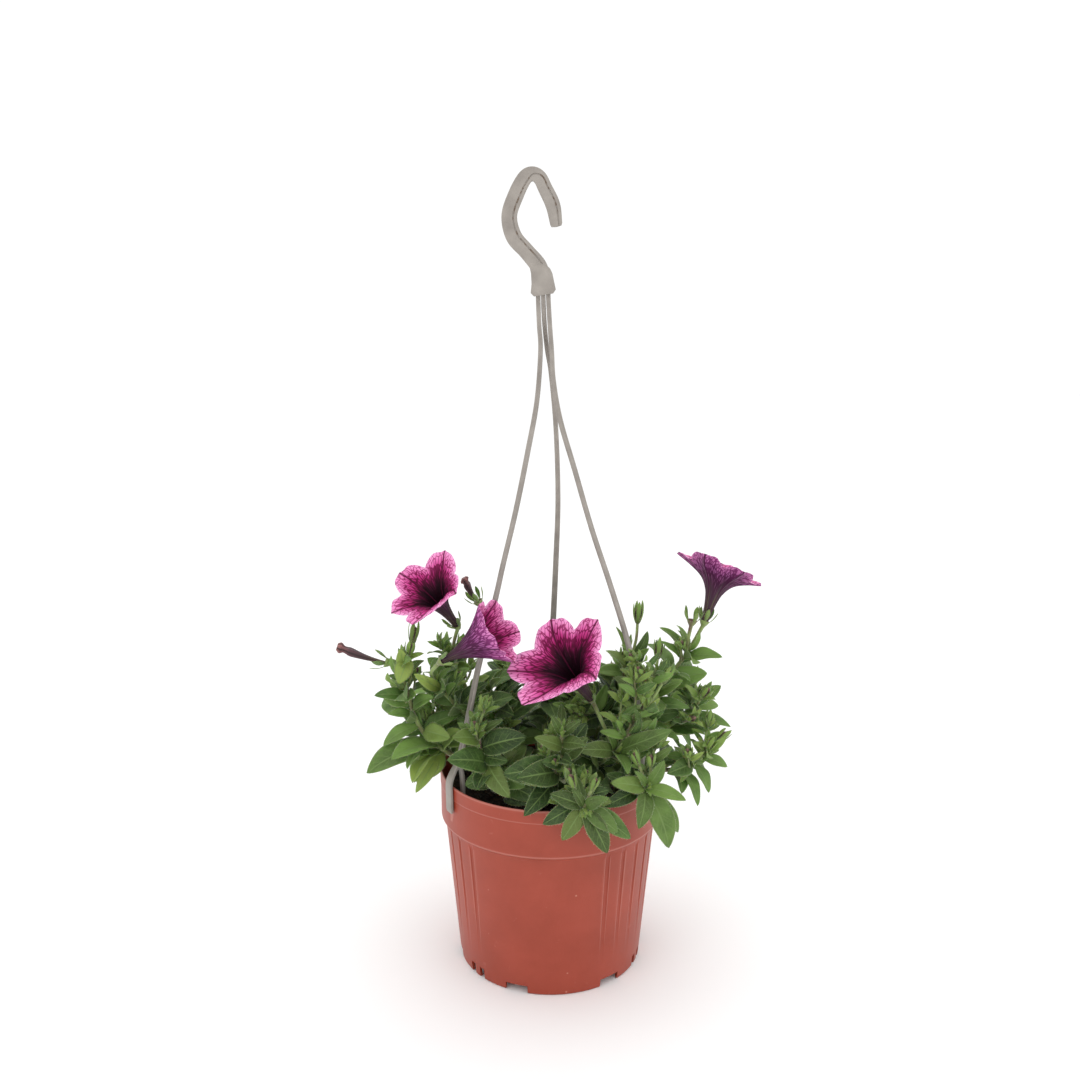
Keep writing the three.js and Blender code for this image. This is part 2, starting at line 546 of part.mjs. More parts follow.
// Each leafy stem: its path from the soil up; the leaves that give it its outline, as
// [place along the stem, tip, width]; how many more leaves its rule adds; and its stalks. A stalk
// starts at a place along the stem and goes via points to the flower it bears or to its tip, where
// it ends in a bud of a given length or in an empty calyx.
const STEMS = [
  {
    name: 'stem_left_outer',
    path: [
      [-36, -8, -12], [-48, -14, 4], [-62, -20, 15], [-75, -25, 27], [-83, -26, 42], [-87, -22, 56],
      [-90, -20, 65],
    ],
    leaves: [
      [0.8, [-107, -28, 56], 9], [0.66, [-98, -36, 47], 8], [0.6, [-102, -31, 25], 11],
      [0.72, [-70, -36, 58], 10], [0.55, [-94, -14, 30], 11], [0.86, [-99, -10, 60], 8],
    ],
    extra: 5,
    stalks: [
      { at: 0.97, via: [[-95, -19, 70.5]], bears: 'spent_bloom_left' },
      { at: 0.88, via: [[-87, -15, 72]], tip: [-85, -12, 84], bud: 12 },
    ],
  },
  {
    name: 'stem_left_low',
    path: [[-40, 2, -12], [-52, -4, 5], [-64, -14, 14], [-72, -22, 20], [-77, -26, 23]],
    leaves: [
      [0.95, [-112, -36, 9], 19], [0.62, [-83, -46, 7], 15], [0.5, [-84, -30, 0], 9],
      [0.9, [-86, -46, 16], 10], [0.7, [-92, -8, 8], 14],
    ],
    extra: 3,
    stalks: [],
  },
  {
    name: 'stem_left_back',
    path: [[-26, 10, -12], [-36, 12, 12], [-48, 8, 36], [-57, 4, 58], [-62, 1, 72]],
    leaves: [
      [0.55, [-72, 26, 52], 13], [0.7, [-78, 8, 68], 12], [0.42, [-66, 24, 28], 14],
      [0.8, [-46, 14, 78], 10],
    ],
    extra: 5,
    stalks: [
      { at: 0.98, via: [[-60, 0, 82]], bears: 'bloom_left' },
      { at: 0.76, via: [[-50, 5, 80], [-44, 4, 97]], bears: 'spent_bloom_centre' },
    ],
  },
  {
    name: 'stem_left_front',
    path: [[-28, -16, -12], [-36, -16, 10], [-48, -17, 34], [-61, -20, 50], [-70, -24, 63]],
    leaves: [
      [0.62, [-56, -42, 56], 13], [0.48, [-44, -44, 50], 12], [0.8, [-54, -20, 68], 10],
      [0.9, [-82, -34, 72], 8],
    ],
    extra: 5,
    stalks: [{ at: 0.97, via: [[-72, -30, 71]], bears: 'bloom_side' }],
  },
  {
    name: 'stem_centre_left',
    path: [[-20, -30, -12], [-28, -34, 2], [-36, -39, 14], [-42, -42, 26], [-43, -42, 38]],
    leaves: [
      [0.78, [-14, -52, 39], 17], [0.6, [-24, -62, 5], 14], [0.5, [-44, -58, 8], 12],
      [0.9, [-58, -56, 40], 12], [0.35, [-52, -40, 3], 14], [0.3, [-6, -60, 2], 14],
    ],
    extra: 3,
    stalks: [],
  },
  {
    name: 'stem_centre_low',
    path: [[-2, -28, -12], [1, -42, 3], [4, -52, 14], [7, -56, 28], [6, -57, 44]],
    leaves: [
      [0.62, [-28, -60, 19], 18], [0.42, [-16, -74, -1], 13], [0.85, [-10, -70, 46], 9],
      [0.9, [20, -72, 42], 9], [0.7, [12, -78, 33], 8],
    ],
    extra: 3,
    stalks: [{ at: 0.5, via: [[8, -62, 15]], tip: [9, -67, 21], bud: 10 }],
  },
  {
    name: 'stem_front',
    path: [[12, -34, -12], [14, -50, 2], [16, -64, 7.5], [18, -72, 7], [19, -76, 5]],
    leaves: [
      [0.92, [-1, -78, 15], 10], [0.9, [6, -84, -11], 11], [0.94, [32, -86, -18], 13],
      [0.93, [38, -82, -7], 12], [0.8, [46, -76, -14], 12], [0.72, [-5, -78, -4], 11],
      [0.94, [31, -84, 16], 8], [0.6, [34, -70, 14], 9],
    ],
    extra: 0,
    stalks: [
      { at: 0.97, via: [[15, -77, 12]], tip: [13, -78, 19], bud: 10 },
      { at: 0.99, via: [[21, -78, 12]], tip: [23, -79, 18], bud: 9 },
    ],
  },
  {
    name: 'stem_front_right',
    path: [[28, -24, -12], [37, -38, 3], [46, -50, 8], [53, -58, 9], [56, -61, 11]],
    leaves: [
      [0.93, [69, -70, -23], 17], [0.86, [76, -56, -20], 11], [0.97, [34, -72, 19], 11],
      [0.95, [66, -62, 29], 9], [0.9, [50, -80, -6], 12], [0.75, [30, -72, 4], 10],
      [0.98, [78, -72, 8], 9],
    ],
    extra: 0,
    stalks: [
      { at: 0.97, via: [[54, -62, 18]], tip: [51, -62, 26], bud: 9 },
      { at: 0.99, via: [[58, -62, 18]], tip: [58, -62, 25], bud: 8 },
    ],
  },
  {
    name: 'stem_centre',
    path: [[14, -12, -12], [22, -22, 4], [32, -34, 16], [39, -44, 27]],
    leaves: [
      [0.98, [14, -62, 35], 11], [0.95, [71, -58, 46], 12], [0.9, [44, -72, 24], 10],
      [0.7, [6, -36, 32], 12], [0.8, [60, -50, 30], 10],
    ],
    extra: 3,
    stalks: [
      { at: 0.98, via: [[32, -42, 41]], bears: 'bloom_front' },
      { at: 0.99, via: [[49, -46, 46], [60, -39, 57]], tip: [67, -31, 65], bud: 12 },
    ],
  },
  {
    name: 'stem_right_low',
    path: [
      [42, -8, -12], [56, -15, 4], [70, -26, 7], [80, -33, 11], [89, -36, 17], [95, -34, 23.5],
    ],
    leaves: [
      [0.87, [107, -38, 14], 8], [0.75, [96, -40, -2], 9], [0.6, [88, -50, -6], 9],
      [0.92, [92, -52, 26], 7], [0.68, [94, -16, 8], 11], [0.5, [78, -50, 2], 11],
    ],
    extra: 2,
    stalks: [{ at: 0.99, via: [[97, -33.5, 25.5]], tip: [101, -33, 29], bud: 9 }],
  },
  {
    name: 'stem_right_mid',
    path: [[46, 8, -12], [56, 3, 10], [70, -5, 24], [82, -11, 36], [90, -12, 48]],
    leaves: [
      [0.76, [112, -16, 31], 9], [0.88, [106, -2, 40], 8], [0.95, [106, -10, 56], 9],
      [0.6, [96, -30, 34], 11], [0.5, [90, 14, 20], 13],
    ],
    extra: 5,
    stalks: [],
  },
  {
    name: 'stem_right_upper',
    path: [[34, 4, -12], [44, 4, 14], [57, 2, 38], [71, -1, 56], [82, -3, 70], [86, -2, 76]],
    leaves: [
      [0.82, [106, -12, 75], 11], [0.93, [68, 2, 90], 8], [0.7, [92, 18, 58], 12],
      [0.62, [50, -16, 56], 11], [0.97, [80, 14, 88], 7],
    ],
    extra: 5,
    stalks: [
      { at: 0.98, via: [[91, -1.5, 85]], bears: 'bloom_right' },
      { at: 0.92, via: [[85, -6, 84]], tip: [87, -7, 96] },
    ],
  },
  {
    name: 'stem_right_inner',
    path: [[22, -2, -12], [28, 2, 14], [36, 4, 38], [45, 5, 56], [51, 5, 68]],
    leaves: [
      [0.85, [41, 8, 89], 7], [0.7, [24, 12, 62], 12], [0.6, [36, -20, 58], 12],
      [0.92, [62, 14, 84], 8],
    ],
    extra: 5,
    stalks: [{ at: 0.96, via: [[54, 7, 80]], tip: [55, 9, 91], bud: 12 }],
  },
  {
    name: 'stem_right_front',
    path: [[32, -12, -12], [41, -14, 12], [51, -17, 32], [59, -19, 48], [64, -19, 60]],
    leaves: [
      [0.7, [84, -34, 50], 10], [0.85, [80, -28, 66], 9], [0.6, [40, -34, 46], 10],
      [0.5, [74, -40, 30], 11],
    ],
    extra: 5,
    stalks: [
      { at: 0.96, via: [[65, -14, 67]], tip: [66, -11, 74], bud: 11 },
      { at: 0.9, via: [[60, -26, 60]], tip: [58, -32, 66], bud: 10 },
    ],
  },
  {
    name: 'stem_left_upper',
    path: [[-16, -6, -12], [-23, -6, 16], [-31, -4, 36], [-38, -3, 50]],
    leaves: [[0.7, [-22, -30, 44], 13], [0.8, [-16, 6, 56], 11], [0.92, [-30, -20, 64], 9]],
    extra: 5,
    stalks: [],
  },
  {
    name: 'stem_centre_back',
    path: [[-4, 6, -12], [-4, 8, 18], [-1, 10, 42], [2, 9, 58]],
    leaves: [[0.7, [22, -10, 48], 13], [0.8, [-20, -12, 60], 12], [0.6, [4, -22, 36], 14]],
    extra: 4,
    stalks: [],
  },
  {
    name: 'stem_back_left',
    path: [[-24, 26, -12], [-36, 36, 4], [-52, 48, 12], [-66, 56, 22], [-73, 60, 35]],
    leaves: [
      [0.6, [-68, 76, 2], 15], [0.8, [-98, 52, 26], 13], [0.7, [-92, 36, 14], 14],
      [0.5, [-38, 66, 8], 13],
    ],
    extra: 4,
    stalks: [],
  },
  {
    name: 'stem_back',
    path: [[-4, 28, -12], [-12, 42, 6], [-21, 56, 16], [-27, 64, 28], [-29, 67, 42]],
    leaves: [
      [0.55, [-14, 88, 2], 15], [0.75, [-46, 84, 24], 13], [0.7, [-6, 84, 30], 12],
      [0.62, [-40, 88, 4], 14],
    ],
    extra: 4,
    stalks: [{ at: 0.97, via: [[-29, 67, 49]], tip: [-28, 67, 55], bud: 11 }],
  },
  {
    name: 'stem_back_right',
    path: [[18, 28, -12], [28, 42, 5], [38, 54, 15], [46, 62, 26], [50, 66, 40]],
    leaves: [
      [0.6, [40, 88, 2], 15], [0.75, [72, 78, 22], 13], [0.66, [22, 82, 24], 13],
      [0.85, [44, 88, 44], 10],
    ],
    extra: 4,
    stalks: [{ at: 0.97, via: [[51, 67, 47]], tip: [52, 67, 53], bud: 11 }],
  },
  {
    name: 'stem_right_back',
    path: [[36, 20, -12], [52, 27, 5], [68, 34, 14], [82, 38, 26], [89, 39, 40]],
    leaves: [
      [0.65, [88, 60, 4], 14], [0.8, [110, 36, 24], 12], [0.6, [92, 18, 2], 13],
      [0.9, [100, 54, 44], 10],
    ],
    extra: 4,
    stalks: [],
  },
];

const STEM_RADIUS = 1.7;
const STEM_RUNS = 6;
const STALK_RADIUS = 0.95;
const STALK_END_RADIUS = 1.3;
const CALYX_LENGTH = 9;
const CALYX_SPREAD = 6.5;
const BRACT_WIDTH = 5.5;
const ROOT_OFFSET = 0.5; // from a stem's centre to where its leaves' points are sunk

// Turns of a leaf that are tried in order until one is clear: [sideways, upwards].
const TURNS = [
  [0, 0], [0, 11], [11, 0], [-11, 0], [0, -11], [14, 14], [-14, 14], [14, -14], [-14, -14], [0, 24],
  [26, 6], [-26, 6],
];
const SHORTENINGS = [1, 0.82, 0.66];

// A small seeded random number source, so that every build is the same.
function randomSource(seed) {
  let state = seed;
  return () => {
    state = (state * 1664525 + 1013904223) % 4294967296;
    return state / 4294967296;
  };
}

function directionOf(heading, pitch) {
  const level = Math.cos(pitch);
  return vector([level * Math.cos(heading), level * Math.sin(heading), Math.sin(pitch)]);
}

// Where a leaf's tip goes when its reach is turned and shortened about its base.
function turnedTip(base, tip, [sideways, upwards], share) {
  const reach = tip.clone().sub(base);
  const length = reach.length() * share;
  const heading = Math.atan2(reach.y, reach.x) + radians(sideways);
  const pitch = Math.min(Math.asin(reach.z / reach.length()) + radians(upwards), radians(84));
  return directionOf(heading, pitch).multiplyScalar(length).add(base);
}

// The leaves that the growth rule adds: they climb the stem in a spiral and get smaller upwards,
// and a tuft of narrow bracts ends the shoot.
function ruledLeaves(stem, line, random) {
  const leaves = [];
  const start = 360 * random();
  for (let k = 0; k < stem.extra; k += 1) {
    const at = 0.22 + (0.68 * (k + 0.5)) / stem.extra;
    const length = (42 - 20 * at) * (0.85 + 0.3 * random());
    const heading = radians(start + GOLDEN_ANGLE * k);
    const pitch = radians(50 * at * random());
    leaves.push({ at, heading, pitch, length, width: length * 0.5 });
  }
  for (let k = 0; k < 3; k += 1) {
    const heading = radians(start + 120 * k + 30 * random());
    const pitch = radians(30 + 35 * random());
    leaves.push({ at: 0.97, heading, pitch, length: 15 + 5 * random(), width: BRACT_WIDTH });
  }
  return leaves.map(({ at, heading, pitch, length, width }) => {
    const base = stemPoint(line, at);
    return { base, tip: directionOf(heading, pitch).multiplyScalar(length).add(base), width };
  });
}

function boxesMeet(a, b) {
  return [0, 1, 2].every((i) => a.min[i] <= b.max[i] && b.min[i] <= a.max[i]);
}

// True where the body meets none of the others.
function isClear(body, others) {
  const box = body.boundingBox();
  return others.every((other) => !boxesMeet(box, other.boundingBox()) || body.intersect(other).isEmpty());
}

// The plant as { stem name: solid }. Every stem and stalk is set first. Then each leaf takes the
// first turn that is clear of the fixed pieces and of the other stems.
function makeStems(fixed) {
  const flowers = { ...BLOOMS, ...SPENT_BLOOMS };
  const plants = STEMS.map((stem, index) => {
    const line = curve(stem.path.map(vector));
    const bodies = [mainStem(line)];
    for (const { at, via, bears, tip, bud } of stem.stalks) {
      const start = stemPoint(line, at);
      const seat = vector(bears ? flowers[bears].seat : tip);
      if (bud) {
        bodies.push(budStalk(curve([start, ...via.map(vector), seat]), bud));
        continue;
      }
      const [from, to] = bears ? [seat, vector(flowers[bears].mouth)] : [vector(via.at(-1)), seat];
      const direction = to.clone().sub(from).normalize();
      const end = seat.clone().addScaledVector(direction, -1.3);
      const stalk = curve([start, ...via.map(vector), end]);
      bodies.push(skin(branchRings(stalk, STALK_RADIUS, STALK_END_RADIUS, 3)));
      bodies.push(calyx(seat, direction, CALYX_LENGTH, CALYX_SPREAD));
    }
    return { stem, line, bodies, random: randomSource(index + 1) };
  });
  const place = (plant, { base: middle, tip, width }) => {
    const base = middle.clone().addScaledVector(tip.clone().sub(middle).normalize(), ROOT_OFFSET);
    const neighbours = plants.filter((other) => other !== plant);
    const others = [...fixed, ...neighbours.flatMap((other) => other.bodies)];
    for (const share of SHORTENINGS) {
      for (const turn of TURNS) {
        const leaf = { base, tip: turnedTip(base, tip, turn, share), width: width * share };
        if (!isClear(blade(leaf, LEAF_CLEARANCE), others)) continue;
        plant.bodies.push(blade(leaf));
        return;
      }
    }
  };
  for (const plant of plants) {
    for (const [at, tip, width] of plant.stem.leaves) {
      place(plant, { base: stemPoint(plant.line, at), tip: vector(tip), width });
    }
  }
  for (const plant of plants) {
    for (const leaf of ruledLeaves(plant.stem, plant.line, plant.random)) place(plant, leaf);
  }
  return plants.map(({ stem, bodies }) => [stem.name, join(bodies)]);
}

// ---------------------------------------------------------------- assembly

const basket = new THREE.Group();
const add = (name, body, material) => basket.add(meshOf(name, body, material));
const placed = ([name, { seat, mouth, ...rest }]) => {
  return [name, { seat: vector(seat), mouth: vector(mouth), ...rest }];
};

const potBody = makePot();
const soilBody = makeSoil(STEMS.map(({ path }) => ({ foot: vector(path[0]), radius: STEM_RADIUS })));
const legs = Object.keys(LEG_ANGLES).map((name) => [name, makeLeg(name)]);
const blooms = Object.entries(BLOOMS).map(placed).map(([name, bloom]) => [name, corolla(bloom)]);
const spent = Object.entries(SPENT_BLOOMS).map(placed).map(([name, bloom]) => [name, withered(bloom)]);
const fixed = [potBody, soilBody, ...[...legs, ...blooms, ...spent].map(([, body]) => body)];

add('pot', potBody, PLASTIC_RED);
add('soil', soilBody, PEAT);
add('hanger_hook', makeHook(), PLASTIC_GREY);
legs.forEach(([name, body]) => add(`hanger_leg_${name}`, body, PLASTIC_GREY));
makeStems(fixed).forEach(([name, body]) => add(name, body, LEAF_GREEN));
blooms.forEach(([name, body]) => add(name, body, PETAL_PINK));
spent.forEach(([name, body]) => add(name, body, PETAL_BROWN));
basket.position.set(...CROWN.map((value) => -value));

export default basket;
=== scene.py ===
"""A petunia in a red hanging pot with its clip-on hanger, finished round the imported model."""

import math
import random

import bmesh
import bpy
import numpy as np
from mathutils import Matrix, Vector, kdtree
from mathutils.bvhtree import BVHTree


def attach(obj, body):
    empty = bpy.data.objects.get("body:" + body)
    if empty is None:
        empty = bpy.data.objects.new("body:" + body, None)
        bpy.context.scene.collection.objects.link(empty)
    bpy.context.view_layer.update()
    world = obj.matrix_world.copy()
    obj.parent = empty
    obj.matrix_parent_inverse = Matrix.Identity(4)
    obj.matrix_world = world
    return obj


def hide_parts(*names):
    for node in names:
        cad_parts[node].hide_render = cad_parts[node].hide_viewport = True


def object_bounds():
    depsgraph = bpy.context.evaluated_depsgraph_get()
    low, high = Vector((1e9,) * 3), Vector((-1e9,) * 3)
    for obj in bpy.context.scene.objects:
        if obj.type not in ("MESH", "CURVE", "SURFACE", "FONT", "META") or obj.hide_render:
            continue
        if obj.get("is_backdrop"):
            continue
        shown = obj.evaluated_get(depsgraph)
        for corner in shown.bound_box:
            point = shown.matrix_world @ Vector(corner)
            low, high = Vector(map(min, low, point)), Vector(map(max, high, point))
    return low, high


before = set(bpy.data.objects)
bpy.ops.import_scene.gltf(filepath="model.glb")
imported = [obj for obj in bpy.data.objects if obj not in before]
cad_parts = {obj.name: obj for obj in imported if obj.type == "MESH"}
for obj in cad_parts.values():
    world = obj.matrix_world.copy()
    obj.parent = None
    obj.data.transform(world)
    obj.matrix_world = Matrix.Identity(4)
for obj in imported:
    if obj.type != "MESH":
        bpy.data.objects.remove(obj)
CAD_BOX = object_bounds()

# ================================================================ camera
# The basket is seen from straight in front and a little above its rim, from about 70 cm away.

# Lengths are millimetres, laid out round the pot: its axis is Z, its rim is at z = 0 and its
# front is -Y. The hook's crown, where the basket hangs, is the model's own origin.
CROWN = np.array([-10.7, 0.0, 357.2])


def placed(points):
    """Points of the pot's layout, in millimetres, as points of the model, in metres."""
    return (np.asarray(points, float) - CROWN) / 1000


EYE = (-6.5, -700, 300.9)
LOOKS_DOWN = 12.45  # degrees

eye = bpy.data.objects.new("camera", bpy.data.cameras.new("camera"))
eye.location = Vector(placed(EYE))
eye.rotation_euler = (math.radians(90 - LOOKS_DOWN), 0, 0)
eye.data.lens = 39
eye.data.sensor_width = 36
eye.data.clip_start = 0.01
bpy.context.scene.collection.objects.link(eye)
bpy.context.scene.camera = eye

# ================================================================ pot
# A 14 cm nursery pot, injection-moulded in polypropylene 1.2 mm thick: a lip, a plain collar, and
# a tapered body with rows of shallow flutes. It stands on a foot ring with drainage notches.

RIM_RADIUS = 70
POT_HEIGHT = 127
WALL = 1.2
COLLAR_RADIUS = 69.7
COLLAR_DEPTH = 30
BODY_RADIUS = 67.3
FOOT_RADIUS = 58.4
FLOOR_TOP = -120.4
CLIP_DEPTH = 13
CLIP_HOLE_RADIUS = 2.1
PIN_SIDES = 24
LEG_ANGLES = {"left": 210, "right": 330, "back": 90}
FLUTE_ANGLES = [start + 10.6 * k for start in (301, 61, 181) for k in range(5)]
FLUTE_HALF = 1.35  # degrees
FLUTE_DEPTH = 0.75
FLUTE_STARTS = (-33.6, -35.2)
FLUTE_FADES = (-60, -113)
DRAIN_ANGLES = [a + turn for a in (218.9, 338.9, 98.9) for turn in (-4.3, 4.3)]
DRAIN_WIDTH = 4.2
NOTCH_ANGLES = [248.9, 308.9, 8.9, 68.9, 128.9, 188.9]
NOTCH_WIDTH = 14.5
CUT_REACH = 8


def body_radius(z):
    """The tapered body's radius at a height."""
    fall = (-z - COLLAR_DEPTH) / (POT_HEIGHT - COLLAR_DEPTH)
    return BODY_RADIUS - (BODY_RADIUS - FOOT_RADIUS) * fall


def smoothstep(low, high, x):
    """A soft step from 0 at low to 1 at high."""
    t = np.clip((np.asarray(x, float) - low) / (high - low), 0, 1)
    return t * t * (3 - 2 * t)


def polar(radius, degrees, z):
    """A point round the pot's axis."""
    angle = math.radians(degrees)
    return np.array([radius * math.cos(angle), radius * math.sin(angle), z])


def facing_out(points, faces):
    """The closed shell's faces, turned over if they face inwards."""
    fans = [(face[0], face[k], face[k + 1]) for face in faces for k in range(1, len(face) - 1)]
    a, b, c = np.asarray(points)[np.array(fans)].transpose(1, 0, 2)
    inwards = np.einsum("ij,ij->", a, np.cross(b, c)) < 0
    return [face[::-1] for face in faces] if inwards else faces


def build_piece(name, shells, finishes, slot, *nodes):
    """One object from closed shells, in place of CAD nodes.

    A shell has points in millimetres, faces, and which finish each face takes. It may also give
    each point a place on the surface, a tint, and a spot in the net of veins.
    """
    points, faces, picks = [], [], []
    count = 0
    for shell in shells:
        points.append(shell["points"])
        turned = facing_out(shell["points"], shell["faces"])
        faces.extend([tuple(count + k for k in face) for face in turned])
        pick = shell.get("finish", 0)
        picks.extend(pick if isinstance(pick, list) else [pick] * len(shell["faces"]))
        count += len(shell["points"])
    mesh = bpy.data.meshes.new(name)
    mesh.from_pydata(placed(np.concatenate(points)).tolist(), [], faces)
    for key in ("place", "tint", "net"):
        if not any(key in shell for shell in shells):
            continue
        values = [np.zeros((len(shell["points"]), 3)) + shell.get(key, 0) for shell in shells]
        mesh.attributes.new(key, "FLOAT_VECTOR", "POINT")
        values = np.concatenate(values).astype(np.float32)
        mesh.attributes[key].data.foreach_set("vector", values.ravel())
    for finish in finishes:
        mesh.materials.append(finish)
    mesh.polygons.foreach_set("material_index", picks)
    mesh.shade_smooth()
    mesh.update()
    piece = bpy.data.objects.new(name, mesh)
    bpy.context.scene.collection.objects.link(piece)
    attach(piece, "root")
    if nodes:
        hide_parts(*nodes)
    return piece


def skin(rings, start, end):
    """A closed shell over rings of equal count, with a fan to a point at each end."""
    rings = [np.asarray(ring, float) for ring in rings]
    count = len(rings[0])
    faces = []
    for low in range(0, (len(rings) - 1) * count, count):
        for j in range(count):
            k = (j + 1) % count
            faces.append((low + j, low + k, low + count + k, low + count + j))
    total = len(rings) * count
    faces += [(total, (j + 1) % count, j) for j in range(count)]
    last = total - count
    faces += [(total + 1, last + j, last + (j + 1) % count) for j in range(count)]
    return {"points": np.concatenate(rings + [np.asarray([start, end], float)]), "faces": faces}


def finer(profile, reach):
    """The profile with its long runs cut into lengths of no more than the reach."""
    dense = [profile[0]]
    for (r0, z0), (r1, z1) in zip(profile, profile[1:]):
        cuts = max(1, math.ceil(math.hypot(r1 - r0, z1 - z0) / reach))
        dense += [(r0 + (r1 - r0) * k / cuts, z0 + (z1 - z0) * k / cuts) for k in range(1, cuts + 1)]
    return dense


flute_steps = [side * edge for side in (-1, 1) for edge in (0.6, 1.0, 1.3, 1.6, 1.9)]
flute_edges = [a + step for a in FLUTE_ANGLES for step in flute_steps]
even_angles = [2.5 * k for k in range(144)]
pot_angles = sorted({round(a % 360, 3) for a in flute_edges + FLUTE_ANGLES + even_angles})
outer_profile = [
    (FOOT_RADIUS - 1.8, -126.6), (FOOT_RADIUS - 1.5, -POT_HEIGHT), (FOOT_RADIUS - 0.3, -POT_HEIGHT),
    (FOOT_RADIUS, -126.6), (body_radius(-125.8), -125.8), (body_radius(-114), -114),
    (body_radius(-112), -112), (body_radius(-36), -36), (body_radius(-34), -34),
    (body_radius(-32.3), -32.3), (67.35, -31.9), (67.9, -31.5), (69.2, -30.5), (69.6, -30.1),
    (COLLAR_RADIUS, -29.6), (COLLAR_RADIUS, -29),
    (COLLAR_RADIUS, -9.4), (COLLAR_RADIUS, -8.9), (69.72, -8.6), (69.95, -8.3), (RIM_RADIUS, -8.0),
    (RIM_RADIUS, -7.5), (RIM_RADIUS, -1.3), (RIM_RADIUS, -0.7), (69.88, -0.25), (69.6, 0),
    (69.1, 0), (68.85, -0.2), (RIM_RADIUS - WALL, -0.6),
]
inner_profile = [
    (COLLAR_RADIUS - WALL, -8), (COLLAR_RADIUS - WALL, -COLLAR_DEPTH), (body_radius(-32) - WALL, -32),
    (body_radius(FLOOR_TOP) - WALL, FLOOR_TOP), (4, FLOOR_TOP),
]
under_profile = [(4, FLOOR_TOP - 1.4), (body_radius(-121) - 1.6, FLOOR_TOP - 1.4), outer_profile[0]]


def pot_ring(radius, z, outside):
    """A ring of the wall, dented at the flutes where it is on the outside."""
    ring = []
    depth = FLUTE_DEPTH * float(smoothstep(*FLUTE_STARTS, z) * (1 - smoothstep(*FLUTE_FADES, z)))
    for degrees in pot_angles:
        off = min(abs((degrees - a + 180) % 360 - 180) for a in FLUTE_ANGLES)
        dent = depth * float(1 - smoothstep(0.75 * FLUTE_HALF, FLUTE_HALF + 0.15, off))
        ring.append(polar(radius - (dent if outside else 0), degrees, z))
    return ring


pot_rings = [pot_ring(r, z, False) for r, z in finer(under_profile, 20)][:-1]
pot_rings += [pot_ring(r, z, True) for r, z in finer(outer_profile, 5)]
pot_rings += [pot_ring(r, z, False) for r, z in finer(inner_profile, 12)]
pot_shell = skin(pot_rings, (0, 0, FLOOR_TOP - 1.4), (0, 0, FLOOR_TOP))


def to_linear(hex_colour):
    """An sRGB hex colour as linear red, green, blue and alpha."""
    parts = [int(hex_colour[k : k + 2], 16) / 255 for k in (1, 3, 5)]
    return [c / 12.92 if c <= 0.04045 else ((c + 0.055) / 1.055) ** 2.4 for c in parts] + [1.0]


def add_node(tree, kind, inputs=None, stops=None, **settings):
    """A shader node with its settings. Each input is a value, a colour, a socket or a node."""
    node = tree.nodes.new("ShaderNode" + kind)
    for name, value in settings.items():
        setattr(node, name, value)
    for name, value in (inputs or {}).items():
        if isinstance(value, str):
            value = to_linear(value)
        if isinstance(value, bpy.types.Node):
            value = value.outputs[0]
        if isinstance(value, bpy.types.NodeSocket):
            tree.links.new(value, node.inputs[name])
        else:
            node.inputs[name].default_value = value
    for k, (position, colour) in enumerate(stops or []):
        ramp = node.color_ramp.elements
        stop = ramp[k] if k < 2 else ramp.new(position)
        stop.position = position
        stop.color = to_linear(colour)
    return node


def new_material(name, colour, settings):
    """A material, its node tree and its shader, with the settings that hold all over it."""
    material = bpy.data.materials.new(name)
    material.use_nodes = True
    shader = material.node_tree.nodes["Principled BSDF"]
    shader.inputs["Base Color"].default_value = to_linear(colour)
    for key, value in settings.items():
        shader.inputs[key].default_value = value
    return material, material.node_tree, shader


# Polypropylene, moulded from a satin tool: it has a soft gloss, faint flow mottling, dried
# splashes of water, a few specks of compost, and a painted highlight that pales its moulded edges.
glossy = {"Roughness": 0.42, "IOR": 1.49}
red_plastic, tree, shader = new_material("moulded_red_polypropylene", "#a04636", glossy)
where = add_node(tree, "TexCoord").outputs["Object"]
cloud = add_node(tree, "TexNoise", {"Vector": where, "Scale": 28, "Detail": 4, "Roughness": 0.6})
tone = add_node(tree, "ValToRGB", {"Fac": cloud}, [(0.32, "#93361f"), (0.7, "#a1402b")])
spread = add_node(tree, "TexNoise", {"Vector": where, "Scale": 160, "Detail": 3, "Distortion": 0.6})
splash = add_node(tree, "MapRange", {"Value": spread, "From Min": 0.68, "From Max": 0.8, "To Max": 0.6})
dried = add_node(tree, "Mix", {0: splash, 6: tone, 7: "#ab5646"}, data_type="RGBA")
speck_shape = add_node(tree, "TexVoronoi", {"Vector": where, "Scale": 190})
speck = add_node(tree, "MapRange", {"Value": speck_shape, "From Min": 0.16, "From Max": 0.08})
rare = add_node(tree, "Math", {0: speck_shape.outputs["Color"], 1: 0.86}, operation="GREATER_THAN")
mark = add_node(tree, "Math", {0: speck, 1: rare}, operation="MULTIPLY")
worn = add_node(tree, "Mix", {0: mark, 6: dried.outputs[2], 7: "#bb7763"}, data_type="RGBA")
